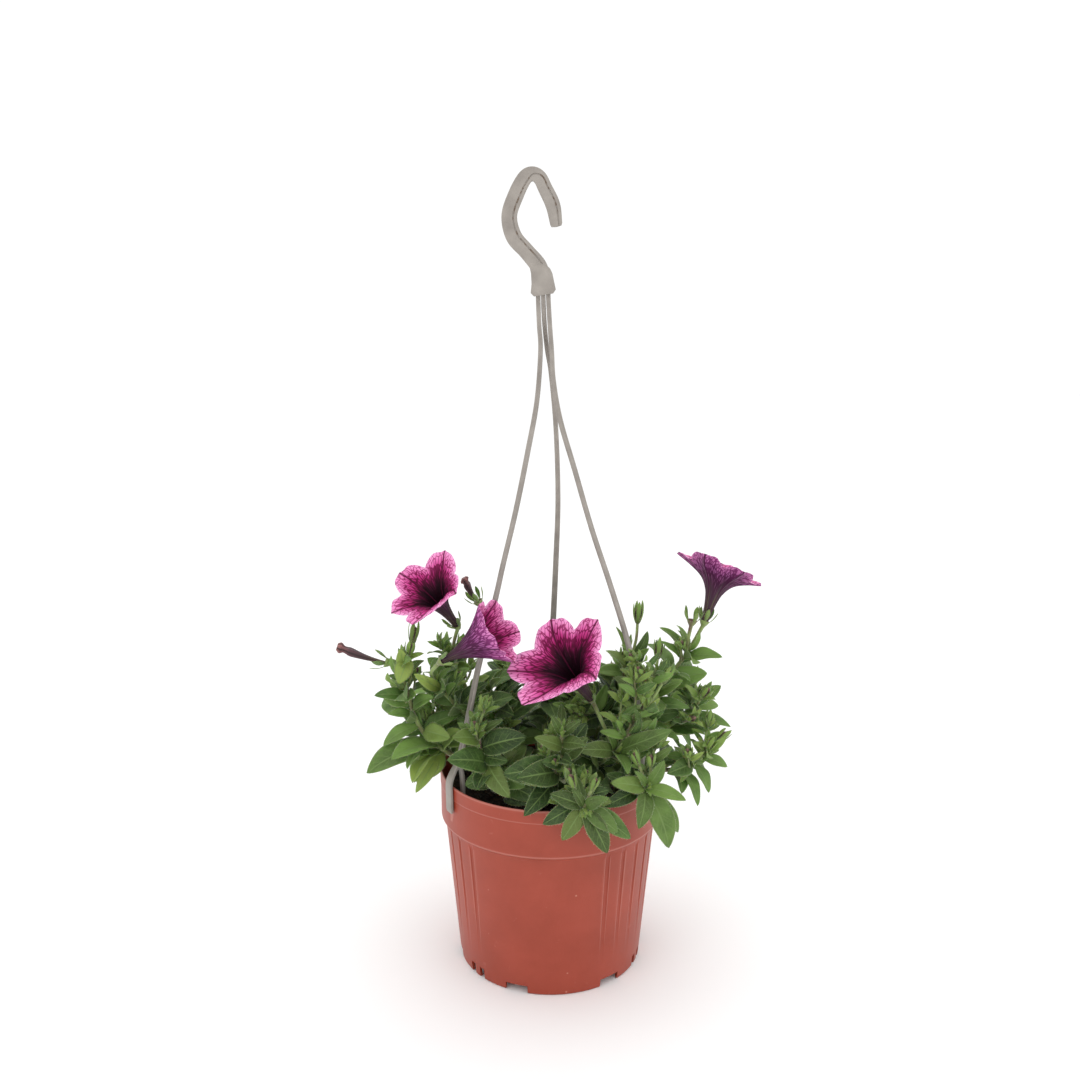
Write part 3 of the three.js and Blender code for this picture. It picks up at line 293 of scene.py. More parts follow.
# A painted highlight pales the edges, above the foot only.
height = add_node(tree, "SeparateXYZ", {0: where}).outputs["Z"]
low, high = placed((0, 0, -118))[2], placed((0, 0, -108))[2]
highlight_above_foot = add_node(tree, "MapRange", {"Value": height, "From Min": low, "From Max": high, "To Max": 0.42})
bulge = add_node(tree, "NewGeometry").outputs["Pointiness"]
edge_highlight_range = {"Value": bulge, "From Min": 0.506, "From Max": 0.524, "To Max": highlight_above_foot}
# The pale colour on the convex edges is a painted highlight.
edge = add_node(tree, "MapRange", edge_highlight_range)
edged = add_node(tree, "Mix", {0: edge, 6: worn.outputs[2], 7: "#c9877a"}, data_type="RGBA")
tree.links.new(edged.outputs[2], shader.inputs["Base Color"])
gloss = add_node(tree, "MapRange", {"Value": cloud, "To Min": 0.36, "To Max": 0.48})
tree.links.new(gloss.outputs[0], shader.inputs["Roughness"])
grain = add_node(tree, "TexNoise", {"Vector": where, "Scale": 900, "Detail": 2})
relief = add_node(tree, "Bump", {"Height": grain, "Strength": 0.12, "Distance": 0.0004})
tree.links.new(relief.outputs[0], shader.inputs["Normal"])

pot = build_piece("moulded_pot", [pot_shell], [red_plastic], "pot_plastic", "pot")


def block(angle, radius, reach, width, z, height):
    """A box through the wall, centred on an angle, as two rings."""
    out, along = polar(1, angle, 0), polar(1, angle + 90, 0)
    corners = [(a, b) for a, b in ((-1, -1), (1, -1), (1, 1), (-1, 1))]
    rings = []
    for side in (-1, 1):
        middle = out * radius + np.array([0, 0, z + side * height / 2])
        rings.append([middle + out * a * reach / 2 + along * b * width / 2 for a, b in corners])
    return rings


def pin(angle, start, end, z, radius):
    """A round bar through the wall, from one radius to another, as two rings."""
    out, along = polar(1, angle, 0), polar(1, angle + 90, 0)
    spokes = [2 * math.pi * k / PIN_SIDES for k in range(PIN_SIDES)]
    flat = [(radius * math.cos(a), radius * math.sin(a)) for a in spokes]
    return [[out * reach + along * a + np.array([0, 0, z + b]) for a, b in flat] for reach in (start, end)]


cuts = [block(a, FOOT_RADIUS, CUT_REACH, NOTCH_WIDTH, -POT_HEIGHT + 1.5, 7) for a in NOTCH_ANGLES]
cuts += [block(a, FOOT_RADIUS, CUT_REACH, DRAIN_WIDTH, -POT_HEIGHT + 3, 8) for a in DRAIN_ANGLES]
cuts += [pin(a, RIM_RADIUS - 5, RIM_RADIUS + 3, -CLIP_DEPTH, CLIP_HOLE_RADIUS) for a in LEG_ANGLES.values()]
cutter_mesh = bmesh.new()
for rings in cuts:
    corners = [[cutter_mesh.verts.new(placed(point)) for point in ring] for ring in rings]
    for j, corner in enumerate(corners[0]):
        k = (j + 1) % len(corners[0])
        cutter_mesh.faces.new((corner, corners[0][k], corners[1][k], corners[1][j]))
    cutter_mesh.faces.new(corners[0])
    cutter_mesh.faces.new(corners[1])
bmesh.ops.recalc_face_normals(cutter_mesh, faces=cutter_mesh.faces)
cutter = bpy.data.objects.new("pot_openings", bpy.data.meshes.new("pot_openings"))
cutter_mesh.to_mesh(cutter.data)
cutter_mesh.free()
bpy.context.scene.collection.objects.link(cutter)
opening = pot.modifiers.new("openings", "BOOLEAN")
opening.object = cutter
opening.operation = "DIFFERENCE"
opening.solver = "EXACT"
bpy.context.view_layer.update()
cut_pot = bpy.data.meshes.new_from_object(pot.evaluated_get(bpy.context.evaluated_depsgraph_get()))
pot.modifiers.clear()
pot.data = cut_pot
pot.data.shade_smooth()
pot.data.set_sharp_from_angle(angle=math.radians(38))
bpy.data.objects.remove(cutter)

# ================================================================ soil
# Damp peat compost, filled by hand to 15 mm below the rim, with crumbs, fibres and bits of bark.

SOIL_TOP = -15
SOIL_RADIUS = COLLAR_RADIUS - WALL - 0.3
SOIL_SIDES = 140
SOIL_RINGS = 44
CRUMBS = 620
CRUMB_SIZES = (0.5, 0.7, 0.9, 1.4)
chance = random.Random(5)

# Peat compost, damp: nearly black and matt, with brown fibres in it.
compost, tree, shader = new_material("damp_peat_compost", "#2a1f18", {"Roughness": 0.92})
where = add_node(tree, "TexCoord").outputs["Object"]
lumps = add_node(tree, "TexNoise", {"Vector": where, "Scale": 420, "Detail": 6, "Roughness": 0.7})
earth = [(0.3, "#120d0a"), (0.5, "#2a1e17"), (0.62, "#46321f"), (0.8, "#6a4d33")]
earth = add_node(tree, "ValToRGB", {"Fac": lumps}, earth)
tree.links.new(earth.outputs[0], shader.inputs["Base Color"])
relief = add_node(tree, "Bump", {"Height": lumps, "Strength": 0.8, "Distance": 0.0012})
tree.links.new(relief.outputs[0], shader.inputs["Normal"])


def soil_height(x, y):
    """The soil's uneven top: it falls a millimetre to the wall, with broad and fine lumps."""
    fall = (x * x + y * y) / 59**2
    fine = 0.5 * math.sin(1.3 * x + 0.4 * y) * math.sin(1.1 * y - 0.3 * x)
    fine += 0.3 * math.sin(2.3 * x - 1.9 * y)
    broad = 0.8 * math.sin(0.31 * x + 0.17 * y) + 0.6 * math.sin(0.43 * y - 0.2 * x)
    return SOIL_TOP - fall + broad + fine


def soil_ring(radius, z):
    return [polar(radius, 360 * k / SOIL_SIDES, z) for k in range(SOIL_SIDES)]


soil_rings = []
for k in range(SOIL_RINGS):
    ring = soil_ring(SOIL_RADIUS * (k + 1) / SOIL_RINGS, 0)
    soil_rings.append([np.array([x, y, soil_height(x, y)]) for x, y, _ in ring])
soil_rings.append(soil_ring(SOIL_RADIUS, -COLLAR_DEPTH))
soil_rings.append(soil_ring(body_radius(-32) - WALL - 0.3, -31.7))
soil_rings.append(soil_ring(body_radius(FLOOR_TOP) - WALL - 0.3, FLOOR_TOP + 0.3))
soil_shells = [skin(soil_rings, (0, 0, soil_height(0, 0)), (0, 0, FLOOR_TOP + 0.3))]

# A crumb is a small ball of twenty faces, stretched and squashed.
golden = (1 + math.sqrt(5)) / 2
ball = [v for k in (-1, 1) for m in (-golden, golden) for v in ((0, k, m), (k, m, 0), (m, 0, k))]
ball = np.array(ball) / math.hypot(1, golden)
hull = bmesh.new()
for point in ball:
    hull.verts.new(point)
bmesh.ops.convex_hull(hull, input=hull.verts)
hull.verts.index_update()
ball_faces = [tuple(v.index for v in face.verts) for face in hull.faces]
hull.free()
for _ in range(CRUMBS):
    x, y, _ = polar(SOIL_RADIUS * 0.97 * math.sqrt(chance.random()), 360 * chance.random(), 0)
    size = chance.choice(CRUMB_SIZES) * (0.7 + 0.6 * chance.random())
    stretch = np.array([1 + 1.4 * chance.random() ** 3, 1, 0.6])
    jitter = np.array([[0.75 + 0.5 * chance.random() for _ in range(3)] for _ in ball])
    crumb = ball * jitter * stretch * size
    turn = 2 * math.pi * chance.random()
    spin = np.array([[math.cos(turn), -math.sin(turn), 0], [math.sin(turn), math.cos(turn), 0], [0, 0, 1]])
    middle = np.array([x, y, soil_height(x, y) + 0.2 * size])
    soil_shells.append({"points": crumb @ spin.T + middle, "faces": ball_faces})
build_piece("compost_and_crumbs", soil_shells, [compost], "soil", "soil")

# ================================================================ hanger hook
# The hanger is moulded in grey polypropylene. Its hook is a band with a shallow channel and a
# fine groove drawn with a dark line, and it widens below into a skirt that holds the legs.

HOOK_DEPTH = 5.6
HOOK_STEPS = 110
STRAP_WIDTH = 2.7
STRAP_THICKNESS = 2.2
STRAP_TOP = 302.6
CORNER_STEPS = 4
# The band's middle, from its nose round the crown to the skirt: x, z and half its width.
HOOK_BAND = [
    (3.1, 332.2, 3.4), (1.0, 343.7, 4.2), (-3.6, 353.4, 4.1), (-6.7, 359.2, 4.0), (-10.9, 361.2, 4.0),
    (-15.2, 359.0, 4.2), (-20.0, 350.4, 4.5), (-24.2, 338.2, 4.5), (-21.7, 326.6, 4.75),
    (-14.6, 318.4, 4.6), (-8.4, 311.3, 4.9), (-6.2, 306.8, 5.0), (-5.2, 302.8, 5.0),
]


def along(points, t):
    """The point at a share of a smooth curve through the points."""
    points = np.asarray(points, float)
    spans = len(points) - 1
    place = min(max(t, 0.0), 1.0) * spans
    k = min(int(place), spans - 1)
    w = place - k
    before = points[k - 1] if k > 0 else 2 * points[0] - points[1]
    after = points[k + 2] if k + 2 <= spans else 2 * points[-1] - points[-2]
    a, b = points[k], points[k + 1]
    start, end = (b - before) / 2, (after - a) / 2
    return a + w * start + w * w * (3 * (b - a) - 2 * start - end) + w**3 * (2 * (a - b) + start + end)


def unit(v):
    return np.asarray(v, float) / np.linalg.norm(v)


def heading_of(points, t):
    """The unit vector along a smooth curve at a share of it."""
    return unit(along(points, t + 1e-4) - along(points, t - 1e-4))


# Polypropylene, moulded and weathered: a warm grey with a dull gloss. The fine groove's bottom
# is drawn with broken dark brown lines.
satin = {"Roughness": 0.5, "IOR": 1.49}
grey_plastic, tree, shader = new_material("moulded_grey_polypropylene", "#a59e96", satin)
where = add_node(tree, "TexCoord").outputs["Object"]
cloud = add_node(tree, "TexNoise", {"Vector": where, "Scale": 90, "Detail": 4})
tone = add_node(tree, "ValToRGB", {"Fac": cloud}, [(0.3, "#8d867f"), (0.72, "#a69f97")])
spot = add_node(tree, "Attribute", attribute_name="place").outputs["Vector"]
in_groove = add_node(tree, "SeparateXYZ", {0: spot}).outputs["Z"]
broken = add_node(tree, "TexNoise", {"Vector": where, "Scale": 330, "Detail": 2})
patchy = add_node(tree, "MapRange", {"Value": broken, "From Min": 0.47, "From Max": 0.53})
groove_line = add_node(tree, "Math", {0: in_groove, 1: patchy}, operation="MULTIPLY")
groove_lined = add_node(tree, "Mix", {"Factor": groove_line, 6: tone, 7: "#7a6a5c"}, data_type="RGBA")
tree.links.new(groove_lined.outputs[2], shader.inputs["Base Color"])
grain = add_node(tree, "TexNoise", {"Vector": where, "Scale": 700, "Detail": 3})
relief = add_node(tree, "Bump", {"Height": grain, "Strength": 0.15, "Distance": 0.0004})
tree.links.new(relief.outputs[0], shader.inputs["Normal"])


def rounded(width, depth, radius):
    """A rectangle's outline with rounded corners."""
    outline = []
    for k, (a, b) in enumerate(((1, 1), (-1, 1), (-1, -1), (1, -1))):
        middle = (a * (width / 2 - radius), b * (depth / 2 - radius))
        for m in range(CORNER_STEPS + 1):
            angle = math.radians(90 * (k + m / CORNER_STEPS))
            outline.append((middle[0] + radius * math.cos(angle), middle[1] + radius * math.sin(angle)))
    return outline


def hook_section(half, groove):
    """The band's outline with a channel and a fine groove on each face, and how dark each point is drawn."""
    face, channel, fine = HOOK_DEPTH / 2, 0.3, 0.45
    edges = [(0.93, 0), (0.8, channel), (-0.8, channel), (-0.93, 0)]
    row = [(share * half, face - depth, 0) for share, depth in edges]
    slit = [(0.7, channel, 0), (0.45, channel, 0.5), (0.25, channel + fine, 1)]
    slit += [(-x, depth, dark) for x, depth, dark in slit[::-1]]
    slit = [(groove * half + x, face - depth, dark) for x, depth, dark in slit]
    row = row[:2] + slit + row[2:]
    corner = [(half - 0.7 + 0.7 * math.cos(a), face - 0.7 + 0.7 * math.sin(a), 0) for a in (0, 0.52, 1.05)]
    front = corner + row + [(-a, b, d) for a, b, d in corner[::-1]]
    return front + [(-a, -b, d) for a, b, d in front]


hook_line = [(x, 0, z) for x, z, _ in HOOK_BAND]
hook_halves = [(half, 0, 0) for _, _, half in HOOK_BAND]
hook_rings, hook_places = [], []
for k in range(HOOK_STEPS + 1):
    t = k / HOOK_STEPS
    middle, ahead = along(hook_line, t), heading_of(hook_line, t)
    side = np.cross(ahead, (0, 1, 0))
    half = along(hook_halves, t)[0]
    if k in (0, HOOK_STEPS):
        half *= 0.86
    groove = -0.42 + 0.92 * float(smoothstep(0.22, 0.42, t))
    section = hook_section(half, groove)
    line_extent = float(smoothstep(0.03, 0.08, t) * (1 - smoothstep(0.77, 0.81, t)))
    hook_rings.append([middle + side * a + np.array([0, -b, 0]) for a, b, _ in section])
    hook_places += [(t, 0, dark * line_extent) for _, _, dark in section]
nose = along(hook_line, 0) - 0.5 * heading_of(hook_line, 0)
band = skin(hook_rings, nose, along(hook_line, 1))
hook_shells = [{**band, "place": np.array(hook_places + [(0, 0, 0), (1, 0, 0)])}]

# The skirt is lower on its left: middle x, z, width, depth, tilt.
SKIRT = [
    (-8.3, 311.4, 8.2, 4.4, 0), (-7.9, 310.7, 9.8, 5.1, 0), (-6.5, 308.4, 11.8, 5.9, 0),
    (-5.5, 305.6, 12.5, 6.8, 0), (-4.8, 300, 13.3, 7.7, 0.8), (-4.6, 295.4, 14.7, 8.2, 2),
    (-4.5, 293.6, 11.8, 7.5, 1.7), (-4.5, 293.3, 11.2, 7.2, 1.7),
]
skirt_rings = []
for x, z, width, depth, tilt in SKIRT:
    skirt_rings.append([(x + a, b, z + tilt * a / width) for a, b in rounded(width, depth, 1.1)])
pocket = rounded(3 * STRAP_WIDTH + 1.2, STRAP_THICKNESS + 0.6, 0.3)
skirt_rings.append([(-4.6 + a, b, 293.3 + 0.15 * a) for a, b in pocket])
skirt_rings.append([(-4.6 + a, b, STRAP_TOP + 0.3) for a, b in pocket])
hook_shells.append(skin(skirt_rings, (-8.4, 0, 311.6), (-4.6, 0, STRAP_TOP + 0.3)))
hook = build_piece("moulded_hook", hook_shells, [grey_plastic], "hanger_plastic", "hanger_hook")
hook.data.set_sharp_from_angle(angle=math.radians(50))

# ================================================================ hanger legs
# Three straps run from the skirt to the pot. Each forks over the rim, and a peg inside its outer
# prong clips into a hole in the collar.

LEG_STEPS = 72
PRONG_STEPS = 22
PRONG_THICKNESS = 2
PRONG_LENGTH = 16.4
FORK_ROOT = (65.4, 14)
FORK_WIDTH = 4.6
LEG_LINES = {
    "left": [
        (-7.6, 0, STRAP_TOP), (-7.6, 0, 292), (-7, -1, 276), (-6.2, -2.4, 261), (-8.3, -5, 232),
        (-13.6, -9, 203), (-20.8, -14, 168), (-28.7, -18, 135), (-33.5, -21, 114), (-42.7, -26, 78),
        (-48, -29, 53), (-53, -31.2, 28),
    ],
    "right": [
        (-1.6, 0, STRAP_TOP), (-1.6, 0, 292), (-0.7, -1.2, 276), (0.4, -2.8, 261), (1.4, -4, 244),
        (5.4, -6, 221), (14.3, -10, 191), (24.6, -15, 156), (36.7, -20, 120), (47.8, -25.5, 83),
        (53, -29.5, 48), (55, -31.2, 28),
    ],
    "back": [
        (-4.6, 0, STRAP_TOP), (-4.6, 0, 292), (-3.8, 1.4, 276), (-2.2, 3.2, 261), (0.1, 5, 247),
        (3.3, 15, 212), (4.9, 30, 166), (3.9, 42, 124), (2.4, 52, 82), (1, 59, 48), (0.3, 62.8, 28),
    ],
}


def strap_section(width):
    """The strap's outline: rounded edges, and a shallow channel along its face."""
    insets = [(0, 0.5), (0.15, 0.12), (0.5, 0), (0.8, 0), (1.0, 0.22)]
    quarter = [(width / 2 - a, STRAP_THICKNESS / 2 - b) for a, b in insets]
    face = quarter + [(-a, b) for a, b in quarter[::-1]]
    return face + [(-a, -b) for a, b in face]


outer_reach = RIM_RADIUS + 0.3 + PRONG_THICKNESS / 2
OUTER_PRONG = [FORK_ROOT, (68.6, 9), (outer_reach, 2.5), (outer_reach, -7), (outer_reach, -PRONG_LENGTH)]
INNER_PRONG = [FORK_ROOT, (63.2, 9), (62.4, 2.5), (62.4, -8.5)]
for name, angle in LEG_ANGLES.items():
    line = LEG_LINES[name] + [tuple(polar(FORK_ROOT[0], angle, FORK_ROOT[1]))]
    tangential = polar(1, angle + 90, 0)
    if tangential[0] < 0:
        tangential = -tangential
    rings = []
    for k in range(LEG_STEPS + 1):
        t = k / LEG_STEPS
        ahead = heading_of(line, t)
        side = np.array([1, 0, 0]) + (tangential - np.array([1, 0, 0])) * float(smoothstep(0.15, 0.6, t))
        side = unit(side - ahead * side.dot(ahead))
        width = STRAP_WIDTH + 1.9 * float(smoothstep(0.3, 1, t))
        up = np.cross(ahead, side)
        rings.append([along(line, t) + side * a + up * b for a, b in strap_section(width)])
    shells = [skin(rings, along(line, 0), along(line, 1))]
    for path, end_width in ((OUTER_PRONG, 7.0), (INNER_PRONG, 4.4)):
        spots = [polar(radius, angle, z) for radius, z in path]
        rings = []
        for k in range(PRONG_STEPS + 1):
            t = k / PRONG_STEPS
            ahead = heading_of(spots, t)
            width = FORK_WIDTH + (end_width - FORK_WIDTH) * min(1, 1.6 * t)
            if k == PRONG_STEPS:
                width -= 0.7
            outward = np.cross(ahead, tangential)
            thick = PRONG_THICKNESS - (0.7 if k in (0, PRONG_STEPS) else 0)
            middle, section = along(spots, t), rounded(width, thick, 0.5)
            rings.append([middle + tangential * a + outward * b for a, b in section])
        shells.append(skin(rings, along(spots, 0), along(spots, 1)))
    peg = pin(angle, RIM_RADIUS - WALL - 0.6, RIM_RADIUS + 1, -CLIP_DEPTH, CLIP_HOLE_RADIUS - 0.4)
    shells.append(skin(peg, np.mean(peg[0], 0), np.mean(peg[1], 0)))
    leg = build_piece(f"strap_{name}", shells, [grey_plastic], "hanger_plastic", f"hanger_leg_{name}")
    leg.data.set_sharp_from_angle(angle=math.radians(50))

# ================================================================ stems and leaves
# The petunia's shoots are soft and hairy. Leaves climb each in a spiral, broad and dull green
# below and small and fresh near the tip, where the flower stalks leave.

# Each leafy stem: its path from the soil up; the leaves that give it its outline, as (place along
# the stem, tip, width); how many more leaves its rule adds; and its stalks, each with its place
# along the stem, the points it goes through and its tip, or the flower it bears.
STEMS = [
    {
        "name": "stem_left_outer",
        "path": [
            (-36, -8, -12), (-48, -14, 4), (-62, -20, 15), (-75, -25, 27), (-83, -26, 42), (-87, -22, 56),
            (-90, -20, 65),
        ],
        "leaves": [
            (0.8, (-107, -28, 56), 9), (0.66, (-98, -36, 47), 8), (0.6, (-102, -31, 25), 11),
            (0.72, (-70, -36, 58), 10), (0.55, (-94, -14, 30), 11), (0.86, (-99, -10, 60), 8),
        ],
        "extra": 5,
        "stalks": [
            {"at": 0.97, "via": [(-95, -19, 70.5)], "bears": "spent_bloom_left"},
            {"at": 0.88, "via": [(-87, -15, 72)], "tip": (-85, -12, 84), "bud": 12},
        ],
    },
    {
        "name": "stem_left_low",
        "path": [(-40, 2, -12), (-52, -4, 5), (-64, -14, 14), (-72, -22, 20), (-77, -26, 23)],
        "leaves": [
            (0.95, (-112, -36, 9), 19), (0.62, (-83, -46, 7), 15), (0.5, (-84, -30, 0), 9),
            (0.9, (-86, -46, 16), 10), (0.7, (-92, -8, 8), 14),
        ],
        "extra": 3,
    },
    {
        "name": "stem_left_back",
        "path": [(-26, 10, -12), (-36, 12, 12), (-48, 8, 36), (-57, 4, 58), (-62, 1, 72)],
        "leaves": [
            (0.55, (-72, 26, 52), 13), (0.7, (-78, 8, 68), 12), (0.42, (-66, 24, 28), 14),
            (0.8, (-46, 14, 78), 10),
        ],
        "extra": 5,
        "stalks": [
            {"at": 0.98, "via": [(-60, 0, 82)], "bears": "bloom_left"},
            {"at": 0.76, "via": [(-50, 5, 80), (-44, 4, 97)], "bears": "spent_bloom_centre"},
        ],
    },
    {
        "name": "stem_left_front",
        "path": [(-28, -16, -12), (-36, -16, 10), (-48, -17, 34), (-61, -20, 50), (-70, -24, 63)],
        "leaves": [
            (0.62, (-56, -42, 56), 13), (0.48, (-44, -44, 50), 12), (0.8, (-54, -20, 68), 10),
            (0.9, (-82, -34, 72), 8),
        ],
        "extra": 5,
        "stalks": [{"at": 0.97, "via": [(-72, -30, 71)], "bears": "bloom_side"}],
    },
    {
        "name": "stem_centre_left",
        "path": [(-20, -30, -12), (-28, -34, 2), (-36, -39, 14), (-42, -42, 26), (-43, -42, 38)],
        "leaves": [
            (0.78, (-14, -52, 39), 17), (0.6, (-24, -62, 5), 14), (0.5, (-44, -58, 8), 12),
            (0.9, (-58, -56, 40), 12), (0.35, (-52, -40, 3), 14), (0.3, (-6, -60, 2), 14),
        ],
        "extra": 3,
    },
    {
        "name": "stem_centre_low",
        "path": [(-2, -28, -12), (1, -42, 3), (4, -52, 14), (7, -56, 28), (6, -57, 44)],
        "leaves": [
            (0.62, (-28, -60, 19), 18), (0.42, (-16, -74, -1), 13), (0.85, (-10, -70, 46), 9),
            (0.9, (20, -72, 42), 9), (0.7, (12, -78, 33), 8),
        ],
        "extra": 3,
        "stalks": [{"at": 0.5, "via": [(8, -62, 15)], "tip": (9, -67, 21), "bud": 10}],
    },
    {
        "name": "stem_front",
        "path": [(12, -34, -12), (14, -50, 2), (16, -64, 7.5), (18, -72, 7), (19, -76, 5)],
        "leaves": [
            (0.92, (-1, -78, 15), 10), (0.9, (6, -84, -11), 11), (0.94, (32, -86, -18), 13),
            (0.93, (38, -82, -7), 12), (0.8, (46, -76, -14), 12), (0.72, (-5, -78, -4), 11),
            (0.94, (31, -84, 16), 8), (0.6, (34, -70, 14), 9),
        ],
        "extra": 0,
        "stalks": [
            {"at": 0.97, "via": [(15, -77, 12)], "tip": (13, -78, 19), "bud": 10},
            {"at": 0.99, "via": [(21, -78, 12)], "tip": (23, -79, 18), "bud": 9},
        ],
    },
    {
        "name": "stem_front_right",
        "path": [(28, -24, -12), (37, -38, 3), (46, -50, 8), (53, -58, 9), (56, -61, 11)],
        "leaves": [
            (0.93, (69, -70, -23), 17), (0.86, (76, -56, -20), 11), (0.97, (34, -72, 19), 11),
            (0.95, (66, -62, 29), 9), (0.9, (50, -80, -6), 12), (0.75, (30, -72, 4), 10),
            (0.98, (78, -72, 8), 9),
        ],
        "extra": 0,
        "stalks": [
            {"at": 0.97, "via": [(54, -62, 18)], "tip": (51, -62, 26), "bud": 9},
            {"at": 0.99, "via": [(58, -62, 18)], "tip": (58, -62, 25), "bud": 8},
        ],
    },
    {
        "name": "stem_centre",
        "path": [(14, -12, -12), (22, -22, 4), (32, -34, 16), (39, -44, 27)],
        "leaves": [
            (0.98, (14, -62, 35), 11), (0.95, (71, -58, 46), 12), (0.9, (44, -72, 24), 10),
            (0.7, (6, -36, 32), 12), (0.8, (60, -50, 30), 10),
        ],
        "extra": 3,
        "stalks": [
            {"at": 0.98, "via": [(32, -42, 41)], "bears": "bloom_front"},
            {"at": 0.99, "via": [(49, -46, 46), (60, -39, 57)], "tip": (67, -31, 65), "bud": 12},
        ],
    },
    {
        "name": "stem_right_low",
        "path": [(42, -8, -12), (56, -15, 4), (70, -26, 7), (80, -33, 11), (89, -36, 17), (95, -34, 23.5)],
        "leaves": [
            (0.87, (107, -38, 14), 8), (0.75, (96, -40, -2), 9), (0.6, (88, -50, -6), 9),
            (0.92, (92, -52, 26), 7), (0.68, (94, -16, 8), 11), (0.5, (78, -50, 2), 11),
        ],
        "extra": 2,
        "stalks": [{"at": 0.99, "via": [(97, -33.5, 25.5)], "tip": (101, -33, 29), "bud": 9}],
    },
    {
        "name": "stem_right_mid",
        "path": [(46, 8, -12), (56, 3, 10), (70, -5, 24), (82, -11, 36), (90, -12, 48)],
        "leaves": [
            (0.76, (112, -16, 31), 9), (0.88, (106, -2, 40), 8), (0.95, (106, -10, 56), 9),
            (0.6, (96, -30, 34), 11), (0.5, (90, 14, 20), 13),
        ],
        "extra": 5,
    },
    {
        "name": "stem_right_upper",
        "path": [(34, 4, -12), (44, 4, 14), (57, 2, 38), (71, -1, 56), (82, -3, 70), (86, -2, 76)],
        "leaves": [
            (0.82, (106, -12, 75), 11), (0.93, (68, 2, 90), 8), (0.7, (92, 18, 58), 12),
            (0.62, (50, -16, 56), 11), (0.97, (80, 14, 88), 7),
        ],
        "extra": 5,
        "stalks": [
            {"at": 0.98, "via": [(91, -1.5, 85)], "bears": "bloom_right"},
            {"at": 0.92, "via": [(85, -6, 84)], "tip": (87, -7, 96)},
        ],
    },
    {
        "name": "stem_right_inner",
        "path": [(22, -2, -12), (28, 2, 14), (36, 4, 38), (45, 5, 56), (51, 5, 68)],
        "leaves": [
            (0.85, (41, 8, 89), 7), (0.7, (24, 12, 62), 12), (0.6, (36, -20, 58), 12),
            (0.92, (62, 14, 84), 8),
        ],
        "extra": 5,
        "stalks": [{"at": 0.96, "via": [(54, 7, 80)], "tip": (55, 9, 91), "bud": 12}],
    },
    {
        "name": "stem_right_front",
        "path": [(32, -12, -12), (41, -14, 12), (51, -17, 32), (59, -19, 48), (64, -19, 60)],
        "leaves": [
            (0.7, (84, -34, 50), 10), (0.85, (80, -28, 66), 9), (0.6, (40, -34, 46), 10),
            (0.5, (74, -40, 30), 11),
        ],
        "extra": 5,
        "stalks": [
            {"at": 0.96, "via": [(65, -14, 67)], "tip": (66, -11, 74), "bud": 11},
            {"at": 0.9, "via": [(60, -26, 60)], "tip": (58, -32, 66), "bud": 10},
        ],
    },
    {
        "name": "stem_left_upper",
        "path": [(-16, -6, -12), (-23, -6, 16), (-31, -4, 36), (-38, -3, 50)],
        "leaves": [(0.7, (-22, -30, 44), 13), (0.8, (-16, 6, 56), 11), (0.92, (-30, -20, 64), 9)],
        "extra": 5,
    },
    {
        "name": "stem_centre_back",
        "path": [(-4, 6, -12), (-4, 8, 18), (-1, 10, 42), (2, 9, 58)],
        "leaves": [(0.7, (22, -10, 48), 13), (0.8, (-20, -12, 60), 12), (0.6, (4, -22, 36), 14)],
        "extra": 4,
    },
    {
        "name": "stem_back_left",
        "path": [(-24, 26, -12), (-36, 36, 4), (-52, 48, 12), (-66, 56, 22), (-73, 60, 35)],
        "leaves": [
            (0.6, (-68, 76, 2), 15), (0.8, (-98, 52, 26), 13), (0.7, (-92, 36, 14), 14),
            (0.5, (-38, 66, 8), 13),
        ],
        "extra": 4,
    },
    {
        "name": "stem_back",
        "path": [(-4, 28, -12), (-12, 42, 6), (-21, 56, 16), (-27, 64, 28), (-29, 67, 42)],
        "leaves": [
            (0.55, (-14, 88, 2), 15), (0.75, (-46, 84, 24), 13), (0.7, (-6, 84, 30), 12),
            (0.62, (-40, 88, 4), 14),
        ],
        "extra": 4,
        "stalks": [{"at": 0.97, "via": [(-29, 67, 49)], "tip": (-28, 67, 55), "bud": 11}],
    },
    {
        "name": "stem_back_right",
        "path": [(18, 28, -12), (28, 42, 5), (38, 54, 15), (46, 62, 26), (50, 66, 40)],
        "leaves": [
            (0.6, (40, 88, 2), 15), (0.75, (72, 78, 22), 13), (0.66, (22, 82, 24), 13),
            (0.85, (44, 88, 44), 10),
        ],
        "extra": 4,
        "stalks": [{"at": 0.97, "via": [(51, 67, 47)], "tip": (52, 67, 53), "bud": 11}],
    },
    {
        "name": "stem_right_back",
        "path": [(36, 20, -12), (52, 27, 5), (68, 34, 14), (82, 38, 26), (89, 39, 40)],
        "leaves": [
            (0.65, (88, 60, 4), 14), (0.8, (110, 36, 24), 12), (0.6, (92, 18, 2), 13),
            (0.9, (100, 54, 44), 10),
        ],
        "extra": 4,
    },
]
